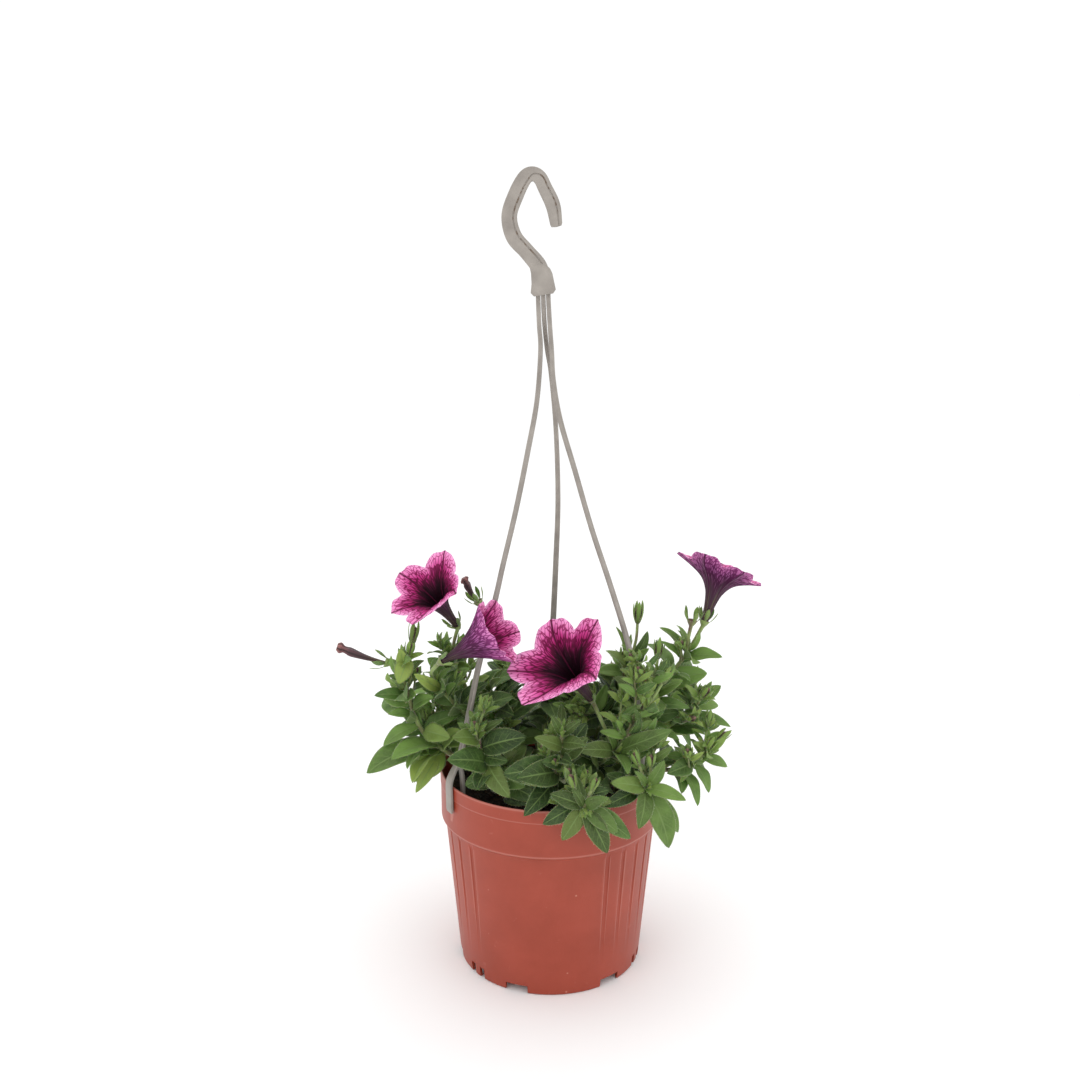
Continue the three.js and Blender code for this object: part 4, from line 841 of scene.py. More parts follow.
# Each bloom's petals in turn: how far each is turned, in degrees, its reach, and how far its tip
# bends forward, both as shares of the radius.
BLOOMS = {
    "bloom_left": {
        "seat": (-58, -1, 92), "mouth": (-75, -18.5, 122), "radius": 26.5, "spin": 27,
        "petals": [(-25, 0.94, 0.01), (3, 1.02, 0.09), (2, 1.03, 0.1), (-1, 0.98, 0), (-22, 1.08, 0.02)],
    },
    "bloom_side": {
        "seat": (-65, -38, 81), "mouth": (-29, -49.5, 103.5), "radius": 22.5, "spin": 50, "wide": True,
        "petals": [(-5, 0.98, 0.01), (-4, 0.99, 0.09), (4, 0.97, 0.21), (1, 0.87, -0.03), (3, 1.01, 0.05)],
    },
    "bloom_front": {
        "seat": (24.5, -32, 55), "mouth": (5, -51, 88), "radius": 32, "spin": 3,
        "petals": [(-13, 0.99, -0.01), (3, 0.98, 0.02), (-9, 1.02, 0.04), (-3, 1.04, 0.1), (-22, 1.12, 0.1)],
    },
    "bloom_right": {
        "seat": (95.5, -1, 94), "mouth": (107, 6, 130), "radius": 29, "spin": 29,
        "petals": [(2, 1.03, -0.03), (13, 0.97, 0.12), (-7, 0.98, 0.02), (3, 0.96, -0.16), (2, 1, 0.06)],
    },
}
SPENT_BLOOMS = {
    "spent_bloom_left": {"seat": (-100, -18, 73.5), "mouth": (-130, -20, 84), "radius": 3.4},
    "spent_bloom_centre": {"seat": (-44.5, 2, 106), "mouth": (-54, 0, 122), "radius": 3.2},
}
STEM_RADIUS = 1.7
STEM_TIP_RADIUS = 1
STEM_RUNS = 6
STEM_STEPS = 36
STALK_RADIUS = 0.95
STALK_STEPS = 18
STALK_END_RADIUS = 1.3
STALK_STOPS_SHORT = 1.3
SHOOT_STEPS = 12
SHOOT_LEAF_SPACING = 4.5
ROOT_OFFSET = 0.5
SIDE_VEINS = 7
VEIN_SLANT = 0.24
QUILTED = 21  # leaves longer than this are sunk along their side veins
BRACT_WIDTH = 5.5
HAIR_SPACING = 0.9
HAIR_RADIUS = 0.05
STEM_HAIRS, STALK_HAIRS, SHOOT_HAIRS = 170, 60, 36
BUD_ROWS = [(-0.02, 1.1), (0.1, 1.6), (0.25, 1.85), (0.42, 1.9), (0.6, 1.8), (0.74, 1.4), (0.84, 0.8)]
BUD_SIDES = 20
CUP_ROWS = [(-2.9, 1.1), (-1.8, 1.7), (-0.6, 2.5), (0.5, 3.0), (1.3, 3.2), (1.3, 2.8), (0.4, 2.3)]
SEPAL_LENGTH = 9
SEPAL_SPREAD = 6.5
GOLDEN_ANGLE = 137.5
FACE_UP, FACE_OUTWARDS, FACE_FRONT = 0.6, 0.6, 0.5
TURNS = [
    (0, 0), (0, 11), (11, 0), (-11, 0), (0, -11), (14, 14), (-14, 14), (14, -14), (-14, -14), (0, 24),
    (26, 6), (-26, 6),
]
SHORTENINGS = [1, 0.82, 0.66]
STEM_SEED, LEAF_SEED, FILL_SEED = 100, 200, 300


def leaf_green(name, colours, vein, margin, sheen):
    """A living leaf's skin: soft, matt and hairy, with paler veins and a paler edge."""
    leaf, tree, shader = new_material(name, colours[1], {
        "Roughness": 0.56, "IOR": 1.42, "Subsurface Weight": 0.12, "Subsurface Radius": (0.5, 1.0, 0.25),
        "Subsurface Scale": 0.0012, "Sheen Weight": sheen, "Sheen Roughness": 0.5,
        "Sheen Tint": to_linear("#dfe8c8"),
    })
    spot = add_node(tree, "Attribute", attribute_name="place").outputs["Vector"]
    along_it, across = add_node(tree, "SeparateXYZ", {0: spot}).outputs[:2]
    tint = add_node(tree, "Attribute", attribute_name="tint").outputs["Vector"]
    # The tint's first part: a random tone, plus painted light out at the sides and painted shade near the
    # middle.
    shade, young = add_node(tree, "SeparateXYZ", {0: tint}).outputs[:2]
    where = add_node(tree, "TexCoord").outputs["Object"]
    cloud = add_node(tree, "TexNoise", {"Vector": where, "Scale": 130, "Detail": 3})
    drift = add_node(tree, "Math", {0: cloud, 1: 0.5}, operation="SUBTRACT")
    tone = add_node(tree, "Math", {0: drift, 1: 0.8, 2: shade}, operation="MULTIPLY_ADD")
    shades = [(0.1, colours[0]), (0.5, colours[1]), (0.95, colours[2])]
    green = add_node(tree, "ValToRGB", {"Fac": tone}, shades)
    fresh = add_node(tree, "Mix", {0: young, 6: green, 7: "#8fa24c"}, data_type="RGBA")
    # Side veins leave the midrib at a slant and curve towards the tip, seven on each side.
    out = add_node(tree, "Math", {0: across}, operation="ABSOLUTE")
    slant = add_node(tree, "Math", {0: out, 1: -VEIN_SLANT, 2: along_it}, operation="MULTIPLY_ADD")
    ladder = add_node(tree, "Math", {0: slant, 1: SIDE_VEINS}, operation="MULTIPLY")
    off_vein = add_node(tree, "Math", {0: ladder, 1: 0.5}, operation="PINGPONG")
    side_vein = add_node(tree, "MapRange", {"Value": off_vein, "From Min": 0.09, "From Max": 0.0})
    inner = add_node(tree, "MapRange", {"Value": out, "From Min": 0.95, "From Max": 0.3})
    side_vein = add_node(tree, "Math", {0: side_vein, 1: inner}, operation="MULTIPLY")
    side_vein = add_node(tree, "Math", {0: side_vein, 1: 0.55}, operation="MULTIPLY")
    midrib = add_node(tree, "MapRange", {"Value": out, "From Min": 0.1, "From Max": 0.02, "To Max": 0.8})
    net = add_node(tree, "TexVoronoi", {"Vector": where, "Scale": 620}, feature="DISTANCE_TO_EDGE")
    net = add_node(tree, "MapRange", {"Value": net, "From Min": 0.09, "From Max": 0.0, "To Max": 0.22})
    veins = add_node(tree, "Math", {0: side_vein, 1: midrib}, operation="MAXIMUM")
    all_veins = add_node(tree, "Math", {0: veins, 1: net}, operation="MAXIMUM")
    veined = add_node(tree, "Mix", {0: all_veins, 6: fresh.outputs[2], 7: vein}, data_type="RGBA")
    rim = add_node(tree, "MapRange", {"Value": out, "From Min": 0.88, "From Max": 1.0, "To Max": 0.75})
    edged = add_node(tree, "Mix", {0: rim, 6: veined.outputs[2], 7: margin}, data_type="RGBA")
    tree.links.new(edged.outputs[2], shader.inputs["Base Color"])
    fuzz = add_node(tree, "TexNoise", {"Vector": where, "Scale": 1500, "Detail": 2})
    dips = add_node(tree, "Math", {0: all_veins, 1: -1.2, 2: fuzz}, operation="MULTIPLY_ADD")
    relief = add_node(tree, "Bump", {"Height": dips, "Strength": 0.35, "Distance": 0.0004})
    tree.links.new(relief.outputs[0], shader.inputs["Normal"])
    return leaf


# Upper sides are dull mid green, undersides are paler and greyer.
leaf_top = leaf_green("hairy_leaf_upper_side", ("#233910", "#4a672a", "#6e8e41"), "#748d4e", "#9bae70", 0.05)
leaf_under = leaf_green("hairy_leaf_underside", ("#4a6338", "#617b48", "#7b9558"), "#90a56e", "#9db06c", 0.15)

# Stems are pale green and soft, and brown where they age.
stem_green, tree, shader = new_material("soft_green_stem", "#7c9151", {
    "Roughness": 0.6, "Subsurface Weight": 0.15, "Subsurface Radius": (0.6, 1.0, 0.3),
    "Subsurface Scale": 0.001, "Sheen Weight": 0.35,
})
where = add_node(tree, "TexCoord").outputs["Object"]
cloud = add_node(tree, "TexNoise", {"Vector": where, "Scale": 110, "Detail": 3})
age = [(0.3, "#6d4f45"), (0.46, "#79804c"), (0.6, "#8ba05a"), (0.75, "#9bb06b")]
aged = add_node(tree, "ValToRGB", {"Fac": cloud}, age)
tree.links.new(aged.outputs[0], shader.inputs["Base Color"])

# The hairs are clear and catch the light as a pale fuzz. They are drawn 0.1 mm thick, two or
# three times their real thickness, so that they show.
glassy = {"Roughness": 0.35, "Subsurface Weight": 0.3, "Subsurface Scale": 0.0004}
hair_clear, tree, shader = new_material("fine_leaf_hair", "#c4cfa8", glassy)
cloud = add_node(tree, "TexNoise", {"Scale": 60})
paling = add_node(tree, "ValToRGB", {"Fac": cloud}, [(0.3, "#aebd8c"), (0.7, "#d3dcbc")])
tree.links.new(paling.outputs[0], shader.inputs["Base Color"])

# Buds are furled petals: olive brown, with painted shade darkening their folds, and dull pink at the tip.
dull = {"Roughness": 0.6, "Sheen Weight": 0.2}
bud_skin, tree, shader = new_material("furled_brown_bud", "#6b5646", dull)
spot = add_node(tree, "Attribute", attribute_name="place").outputs["Vector"]
along_it, fold_shade = add_node(tree, "SeparateXYZ", {0: spot}).outputs[:2]
length_tone = [(0.15, "#6c7a45"), (0.4, "#5c5038"), (0.75, "#66503f"), (1.0, "#876154")]
furl = add_node(tree, "ValToRGB", {"Fac": along_it}, length_tone)
fold = add_node(tree, "Mix", {0: fold_shade, 6: furl, 7: "#35271f"}, data_type="RGBA")
tree.links.new(fold.outputs[2], shader.inputs["Base Color"])

LEAF_FINISHES = [leaf_top, leaf_under, stem_green, hair_clear, bud_skin]
TOP, UNDER, STEM, HAIR, BUD = range(5)


def leaf_face(base, ahead):
    """Which way a leaf's face turns: up, outwards from the pot's axis and a little to the front."""
    face = unit((base[0], base[1], 0)) * FACE_OUTWARDS + np.array([0, -FACE_FRONT, FACE_UP])
    return unit(face - ahead * face.dot(ahead))


def leaf_outline(t, fullest):
    """A leaf's half width along it, as a share of the widest, which lies at the share fullest."""
    return np.sin(np.pi * t ** (math.log(0.5) / math.log(fullest))) ** 0.75


def blade_faces(rows, half):
    """Faces of a thin closed blade: a grid on top, one below, and a shared margin."""
    wide = 2 * half + 1
    top = 2 + np.arange(rows * wide).reshape(rows, wide)
    under = top.copy()
    under[:, 1:-1] = 2 + rows * wide + np.arange(rows * (wide - 2)).reshape(rows, wide - 2)
    faces, finish = [], []
    for side, grid in ((TOP, top.tolist()), (UNDER, under.tolist())):
        for j in range(2 * half):
            patch = [(0, grid[0][j + 1], grid[0][j])]
            for row, after in zip(grid, grid[1:]):
                patch.append((row[j], row[j + 1], after[j + 1], after[j]))
            patch.append((grid[-1][j], grid[-1][j + 1], 1))
            faces += patch if side == TOP else [face[::-1] for face in patch]
            finish += [side] * len(patch)
    return faces, finish


# Longer blades have more rows, and more columns on each side of the midrib.
BLADE_GRIDS = [(QUILTED, (19, 5)), (13, (13, 3)), (7, (8, 2)), (0, (5, 1))]
BLADE_FACES = {grid: blade_faces(*grid) for _, grid in BLADE_GRIDS}


def leaf_blade(base, tip, width, tint, arch=0.12, fold=0.5, face=None, wavy=0.06, phase=0.0, fullest=0.46):
    """A leaf, bract or sepal as a thin closed shell, with its margins' points for the hairs."""
    base, tip = np.asarray(base, float), np.asarray(tip, float)
    reach = tip - base
    length = np.linalg.norm(reach)
    ahead = reach / length
    up = leaf_face(base, ahead) if face is None else unit(face - ahead * np.dot(face, ahead))
    side = np.cross(up, ahead)
    crest = (base + tip) / 2 + up * 2 * arch * length
    rows, half = next(grid for shortest, grid in BLADE_GRIDS if length > shortest)
    t = (np.arange(rows) + 1) / (rows + 1)
    line = (1 - t)[:, None] ** 2 * base + (2 * t * (1 - t))[:, None] * crest + t[:, None] ** 2 * tip
    tangent = 2 * (1 - t)[:, None] * (crest - base) + 2 * t[:, None] * (tip - crest)
    tangent /= np.linalg.norm(tangent, axis=1)[:, None]
    raised = np.cross(tangent, side)
    reach_out = width / 2 * leaf_outline(t, fullest)[:, None]
    v = np.linspace(-1, 1, 2 * half + 1)[None, :]
    ripple = np.sin(2 * np.pi * (1.7 * t[:, None] + phase) + 1.9 * (v > 0)) * v**2 * wavy
    lift = reach_out * (fold * (np.sqrt(v**2 + 0.012) - 0.11) - 0.34 * fold * v**2 + ripple)
    if length > QUILTED:
        rung = 2 * np.pi * SIDE_VEINS * (t[:, None] - VEIN_SLANT * np.abs(v))
        lift -= reach_out * 0.035 * np.cos(rung) * (np.abs(v) * (1 - np.abs(v)) * 4)
    thick = (0.1 + 0.16 * min(1, width / 10)) * np.sqrt(1 - v**2) * (1 - 0.5 * t[:, None])
    sheet = line[:, None, :] + side * (reach_out * v * 0.95)[..., None]
    top = sheet + raised[:, None, :] * (lift + thick)[..., None]
    low = sheet + raised[:, None, :] * (lift - thick)[..., None]
    points = np.concatenate([[base], [tip], top.reshape(-1, 3), low[:, 1:-1].reshape(-1, 3)])
    u = np.repeat(t[:, None], 2 * half + 1, axis=1)
    w = np.repeat(v, rows, axis=0)
    spots = np.stack([u, w, np.zeros_like(u)], axis=-1)
    places = np.concatenate([[(0, 0, 0)], [(1, 0, 0)], spots.reshape(-1, 3), spots[:, 1:-1].reshape(-1, 3)])
    faces, finish = BLADE_FACES[rows, half]
    shell = {"points": points, "faces": faces, "place": places, "tint": tint, "finish": finish}
    shell["grid"] = (rows, half)
    margins = [(top[:, k], side * (-1 if k == 0 else 1), tangent) for k in (0, -1)]
    return shell, margins


def sheet_of(shell):
    """The upper face of a leaf, without its foot, as a light mesh to test for a clash."""
    rows, half = shell["grid"]
    wide = 2 * half + 1
    top = shell["points"][2 : 2 + rows * wide].reshape(rows, wide, 3)
    keep = top[max(1, rows // 5) :: 2 if rows > 8 else 1, :: half]
    corners = [3 * i + j for i in range(len(keep) - 1) for j in range(2)]
    return keep.reshape(-1, 3), [(k, k + 1, k + 4, k + 3) for k in corners]


def spoke(angle, level, other):
    """The direction at an angle round the middle that two unit vectors lie across."""
    return math.cos(angle) * level + math.sin(angle) * other


def hairs(roots, leans, lengths):
    """Fine tapered hairs as one shell: a three-sided spike at each root."""
    roots, leans = np.asarray(roots), np.asarray(leans)
    leans = leans / np.linalg.norm(leans, axis=1)[:, None]
    level = np.cross(leans, (0.31, 0.22, 0.92))
    level /= np.linalg.norm(level, axis=1)[:, None]
    other = np.cross(leans, level)
    thirds = (0, 2.094, 4.189)
    feet = [roots - 0.1 * leans + HAIR_RADIUS * spoke(a, level, other) for a in thirds]
    tips = roots + leans * np.asarray(lengths)[:, None]
    points = np.stack(feet + [tips], axis=1).reshape(-1, 3)
    faces = []
    for k in range(0, 4 * len(roots), 4):
        faces += [(k, k + 1, k + 3), (k + 1, k + 2, k + 3), (k + 2, k, k + 3), (k, k + 2, k + 1)]
    return {"points": points, "faces": faces, "finish": HAIR}


def margin_hairs(margins, rng):
    """Hairs along both margins of a leaf, leaning out and a little forwards."""
    roots, leans = [], []
    for edge, outward, tangent in margins:
        gaps = np.linalg.norm(np.diff(edge, axis=0), axis=1)
        for k, gap in enumerate(gaps):
            for _ in range(max(1, round(gap / HAIR_SPACING))):
                share = rng.random()
                roots.append(edge[k] * (1 - share) + edge[k + 1] * share)
                stray = np.array([rng.uniform(-0.5, 0.5) for _ in range(3)])
                leans.append(outward + 0.35 * tangent[k] + stray)
    return hairs(roots, leans, [rng.uniform(0.5, 1.15) for _ in roots])


def frame_across(ahead):
    """Two unit vectors across a direction: one level, the other as upright as it can be."""
    level = np.array([-ahead[1], ahead[0], 0])
    if level.dot(level) < 1e-6:
        level = np.array([1.0, 0, 0])
    level = unit(level)
    return level, np.cross(ahead, level)


def tube(line, radii, sides, finish):
    """A closed round branch along points, with a radius at each, and its skin for the hairs."""
    line = np.asarray(line, float)
    ahead = np.gradient(line, axis=0)
    ahead /= np.linalg.norm(ahead, axis=1)[:, None]
    level = frame_across(ahead[0])[0]
    rings, skins = [], []
    for point, forward, radius in zip(line, ahead, radii):
        level = unit(level - forward * level.dot(forward))
        other = np.cross(forward, level)
        outs = [spoke(a, level, other) for a in np.arange(sides) * 2 * math.pi / sides]
        rings.append([point + radius * out for out in outs])
        skins.append((point, radius, outs, forward))
    return {**skin(rings, line[0], line[-1]), "finish": finish}, skins


def branch_hairs(skins, rng, count):
    """Hairs scattered over a branch, square to it or leaning along it."""
    roots, leans = [], []
    for _ in range(count):
        point, radius, outs, forward = rng.choice(skins)
        out = rng.choice(outs)
        roots.append(point + radius * out + forward * rng.uniform(-1.2, 1.2))
        leans.append(out + 0.5 * forward * rng.uniform(-0.3, 1))
    return hairs(roots, leans, [rng.uniform(0.6, 1.3) for _ in roots])


def stem_point(path, share):
    """The point at a share of a main stem's length, on the middle of its straight run."""
    run = min(int(share * STEM_RUNS), STEM_RUNS - 1)
    start, end = (along(path, k / STEM_RUNS) for k in (run, run + 1))
    return start + (end - start) * (share * STEM_RUNS - run)


def direction_of(heading, pitch):
    """The unit vector that looks to a heading and up by a pitch, both in radians."""
    level = math.cos(pitch)
    return np.array([level * math.cos(heading), level * math.sin(heading), math.sin(pitch)])


def turned_tip(base, tip, turn, share):
    """Where a leaf's tip goes when its reach is turned and shortened about its base."""
    reach = np.asarray(tip, float) - base
    length = np.linalg.norm(reach)
    heading = math.atan2(reach[1], reach[0]) + math.radians(turn[0])
    pitch = min(math.asin(reach[2] / length) + math.radians(turn[1]), math.radians(84))
    return base + direction_of(heading, pitch) * length * share


def random_source(seed):
    """The draws, from 0 to 1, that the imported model's growth rule makes."""
    state = seed
    while True:
        state = (state * 1664525 + 1013904223) % 4294967296
        yield state / 4294967296


def ruled_leaves(stem, draw):
    """The leaves that the growth rule adds, as (base, tip, width, place along the stem)."""
    leaves = []
    start = 360 * next(draw)
    for k in range(stem["extra"]):
        at = 0.22 + 0.68 * (k + 0.5) / stem["extra"]
        length = (42 - 20 * at) * (0.85 + 0.3 * next(draw))
        heading = math.radians(start + GOLDEN_ANGLE * k)
        pitch = math.radians(50 * at * next(draw))
        leaves.append((at, heading, pitch, length, length / 2))
    for k in range(3):
        heading = math.radians(start + 120 * k + 30 * next(draw))
        pitch = math.radians(30 + 35 * next(draw))
        leaves.append((0.97, heading, pitch, 15 + 5 * next(draw), BRACT_WIDTH))
    grown = []
    for at, heading, pitch, length, width in leaves:
        base = stem_point(stem["path"], at)
        grown.append((base, base + direction_of(heading, pitch) * length, width, at))
    return grown


def standing_leaf(node_points, middle, tip, width):
    """The leaf as its CAD node has it: the turn and length whose tip the node's mesh holds."""
    base = middle + unit(np.asarray(tip, float) - middle) * ROOT_OFFSET
    for share in SHORTENINGS:
        for turn in TURNS:
            end = turned_tip(base, tip, turn, share)
            if node_points.find(placed(end))[2] < 1e-4:
                return base, end, width * share
    return None


def bud_shells(seat, ahead, length, rng):
    """A furled bud with its five sepals closed round it."""
    level, other = frame_across(ahead)
    girth = 0.4 + 0.08 * length
    rings, places = [], []
    for share, radius in BUD_ROWS:
        ring = []
        for k in range(BUD_SIDES):
            angle = 2 * math.pi * k / BUD_SIDES + 1.3 * share
            pleat = 0.5 + 0.5 * math.cos(5 * 2 * math.pi * k / BUD_SIDES)
            r = radius * girth * (0.84 + 0.16 * pleat)
            ring.append(seat + ahead * share * length + r * spoke(angle, level, other))
            # The place's second part is painted shade, darkest down in the folds.
            places.append((share, 0.8 * (1 - pleat) ** 2, 0))
        rings.append(ring)
    places = np.array(places + [(0, 0, 0), (1, 0, 0)])
    furled = skin(rings, seat - ahead, seat + ahead * length * 0.9)
    shells = [{**furled, "place": places, "finish": BUD}]
    for k in range(5):
        out = spoke(2 * math.pi * (k + 0.5) / 5 + rng.uniform(-0.1, 0.1), level, other)
        base = seat - ahead * 0.8 + out * 1.0
        tip = seat + ahead * length * rng.uniform(0.95, 1.25) + out * rng.uniform(2.0, 3.6)
        tint = (rng.uniform(0.6, 1.1), rng.uniform(0.1, 0.45), 0)
        sepal, margins = leaf_blade(base, tip, 3.1, tint, arch=0.09, fold=-0.4, face=out, wavy=0, fullest=0.6)
        shells += [sepal, margin_hairs(margins, rng)]
    return shells


def calyx_shells(seat, ahead, rng):
    """The calyx that a flower stands in: a small cup with five narrow, spoon-shaped sepals."""
    level, other = frame_across(ahead)
    outs = [spoke(a, level, other) for a in np.arange(16) * math.pi / 8]
    rings = [[seat + ahead * height + radius * out for out in outs] for height, radius in CUP_ROWS]
    shells = [{**skin(rings, seat - ahead * 3, seat), "finish": STEM}]
    for k in range(5):
        out = spoke(2 * math.pi * k / 5, level, other)
        base = seat + ahead * 0.2 + out * 2.2
        tip = seat + ahead * SEPAL_LENGTH * rng.uniform(0.95, 1.15)
        tip = tip + out * SEPAL_SPREAD * rng.uniform(0.9, 1.1)
        tint = (rng.uniform(0.3, 0.8), rng.uniform(0.1, 0.5), 0)
        sepal, margins = leaf_blade(
            base, tip, 3.2, tint, arch=-0.1, fold=0.4, face=-out, wavy=0.02, fullest=0.62,
        )
        shells += [sepal, margin_hairs(margins, rng)]
    return shells


# What a leaf keeps clear of: the pot, the soil, the hanger and the flowers, then every stem and
# leaf as it is placed.
claimed = []
boxes = np.zeros((0, 6))


def claim(owner, points, faces):
    """Take the space of a mesh for its owner."""
    global boxes
    points = np.asarray(points, float)
    claimed.append((owner, BVHTree.FromPolygons(points.tolist(), faces)))
    boxes = np.vstack([boxes, np.concatenate([points.min(0), points.max(0)])])


def meets(owner, points, faces):
    """True where a mesh crosses anything claimed by another owner."""
    low, high = points.min(0), points.max(0)
    near = np.flatnonzero(np.all(boxes[:, :3] <= high, axis=1) & np.all(boxes[:, 3:] >= low, axis=1))
    near = [k for k in near if claimed[k][0] != owner]
    if not near:
        return False
    tree = BVHTree.FromPolygons(points.tolist(), faces)
    return any(tree.overlap(claimed[k][1]) for k in near)


for name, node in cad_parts.items():
    if not name.startswith("stem_"):
        solid = [np.array(v.co) * 1000 + CROWN for v in node.data.vertices]
        claim(name, solid, [tuple(f.vertices) for f in node.data.polygons])

# The grower has turned the leaves away from the left clip, so the space before it is open.
corners = [(x, y, z) for x in (-66, -46) for y in (-110, -37) for z in (-20, 31)]
claim("open", corners, [(0, 1, 3, 2), (4, 6, 7, 5), (0, 4, 5, 1), (2, 3, 7, 6), (0, 2, 6, 4), (1, 5, 7, 3)])

REACH_LOW, REACH_HIGH = (np.array(corner) * 1000 + CROWN for corner in CAD_BOX)
# How far a leaf that isn't clear is turned aside and up, in degrees, and shortened, try by try.
TRIES = [
    (0, 0, 1), (25, 8, 1), (-25, 8, 1), (0, 25, 0.9), (50, 12, 0.8), (-50, 12, 0.8), (0, -20, 0.7),
]


def grow_leaf(base, heading, pitch, length, width, rng, tint, fullest=0.46):
    """One more leaf, turned until it is clear of what stands there, or nothing if it never is."""
    for turn, lift, share in TRIES:
        ahead = direction_of(heading + math.radians(turn), min(1.4, pitch + math.radians(lift)))
        tip = base + ahead * length * share
        if np.any(tip < REACH_LOW + 1) or np.any(tip > REACH_HIGH - 1):
            continue
        start = base + ahead * ROOT_OFFSET
        blade, margins = leaf_blade(
            start, tip, width * share, tint, phase=rng.random(), wavy=rng.uniform(0.03, 0.12),
            arch=rng.uniform(0.08, 0.18), fullest=fullest,
        )
        sheet = sheet_of(blade)
        if not meets(None, *sheet):
            claim("leaf", *sheet)
            return [blade, margin_hairs(margins, rng)]
    return []


def heading_and_pitch(lean):
    """A direction's heading and its pitch, both in radians."""
    return math.atan2(lean[1], lean[0]), math.asin(unit(lean)[2])


def tuft(tip, ahead, rng, size):
    """A shoot's growing tip: small pointed leaves round a furled heart of narrow ones."""
    shells = []
    level, other = frame_across(ahead)
    for k in range(7):
        out = spoke(math.radians(GOLDEN_ANGLE * k + 40 * rng.random()), level, other)
        heading, pitch = heading_and_pitch(ahead * rng.uniform(0.5, 1.1) + out * (1.1 - 0.13 * k))
        length = size * (1 - 0.07 * k) * rng.uniform(0.8, 1.15)
        tint = (rng.uniform(0.4, 1), rng.uniform(0.1, 0.7), 0)
        foot = tip - ahead * (3.2 - 0.45 * k)
        shells += grow_leaf(foot, heading, pitch, length, length * rng.uniform(0.26, 0.38), rng, tint)
    for k in range(5):
        out = spoke(math.radians(72 * k + 50 * rng.random()), level, other)
        heading, pitch = heading_and_pitch(ahead + out * rng.uniform(0.22, 0.42))
        tint = (rng.uniform(0.6, 1.2), rng.uniform(0.1, 0.5), 0)
        length = size * rng.uniform(0.55, 0.85)
        shells += grow_leaf(tip - ahead, heading, pitch, length, rng.uniform(1.9, 2.6), rng, tint, 0.62)
    return shells


def side_shoot(owner, route, size, rng, has_bud, slim=0.33, sure=False):
    """A small shoot along a route: a soft stem, narrow leaves up it, and a tuft round its tip."""
    line = [along(route, k / SHOOT_STEPS) for k in range(SHOOT_STEPS + 1)]
    branch, skins = tube(line, np.linspace(0.9, 0.6, SHOOT_STEPS + 1), 8, STEM)
    tip = np.array(route[-1], float)
    outside = np.any(tip < REACH_LOW + 4) or np.any(tip > REACH_HIGH - 4)
    if outside or (not sure and meets(owner, branch["points"], branch["faces"])):
        return []
    shells = [branch, branch_hairs(skins, rng, SHOOT_HAIRS)]
    claim(owner, branch["points"], branch["faces"])
    ahead = heading_of(route, 1)
    if has_bud:
        shells += bud_shells(tip, ahead, rng.uniform(6.5, 10), rng)
    shells += tuft(tip, ahead, rng, size)
    reach = np.linalg.norm(tip - np.array(route[0], float))
    start = 360 * rng.random()
    count = int(reach / SHOOT_LEAF_SPACING)
    for k in range(count):
        foot = along(route, 0.3 + 0.55 * k / count)
        heading, pitch = math.radians(start + GOLDEN_ANGLE * k), math.radians(rng.uniform(10, 50))
        length = size * rng.uniform(1.0, 1.5)
        tint = (rng.uniform(0.2, 1.0), max(0, rng.uniform(-0.5, 0.4)), 0)
        width = length * slim * rng.uniform(0.8, 1.2)
        shells += grow_leaf(foot, heading, pitch, length, width, rng, tint)
    return shells


FLOWERS = {**BLOOMS, **SPENT_BLOOMS}
stem_shells = {stem["name"]: [] for stem in STEMS}
for index, stem in enumerate(STEMS):
    path, name = stem["path"], stem["name"]
    rng = random.Random(STEM_SEED + index)
    foot = np.array(path[0], float)
    line, radii = [foot + (0, 0, -9), foot + (0, 0, -4)], [STEM_RADIUS, STEM_RADIUS]
    for k in range(STEM_STEPS + 1):
        line.append(along(path, k / STEM_STEPS))
        radii.append(STEM_RADIUS + (STEM_TIP_RADIUS - STEM_RADIUS) * k / STEM_STEPS)
    body, skins = tube(line, radii, 12, STEM)
    shells = stem_shells[name]
    shells += [body, branch_hairs(skins[4:], rng, STEM_HAIRS)]
    claim(name, body["points"], body["faces"])
    for stalk in stem.get("stalks", []):
        start = stem_point(path, stalk["at"])
        flower = FLOWERS.get(stalk.get("bears"))
        seat = np.array(flower["seat"] if flower else stalk["tip"], float)
        before = np.array(stalk["via"][-1], float)
        ahead = unit(np.array(flower["mouth"]) - seat if flower else seat - before)
        end = seat if "bud" in stalk else seat - ahead * STALK_STOPS_SHORT
        route = [start, *stalk["via"], end]
        line = [along(route, k / STALK_STEPS) for k in range(STALK_STEPS + 1)]
        last = STALK_RADIUS if "bud" in stalk else STALK_END_RADIUS
        branch, skins = tube(line, np.linspace(STALK_RADIUS, last, STALK_STEPS + 1), 10, STEM)
        shells += [branch, branch_hairs(skins, rng, STALK_HAIRS)]
        claim(name, branch["points"], branch["faces"])
        if "bud" in stalk:
            shells += bud_shells(seat, heading_of(route, 1), stalk["bud"], rng)
        else:
            shells += calyx_shells(seat, ahead, rng)

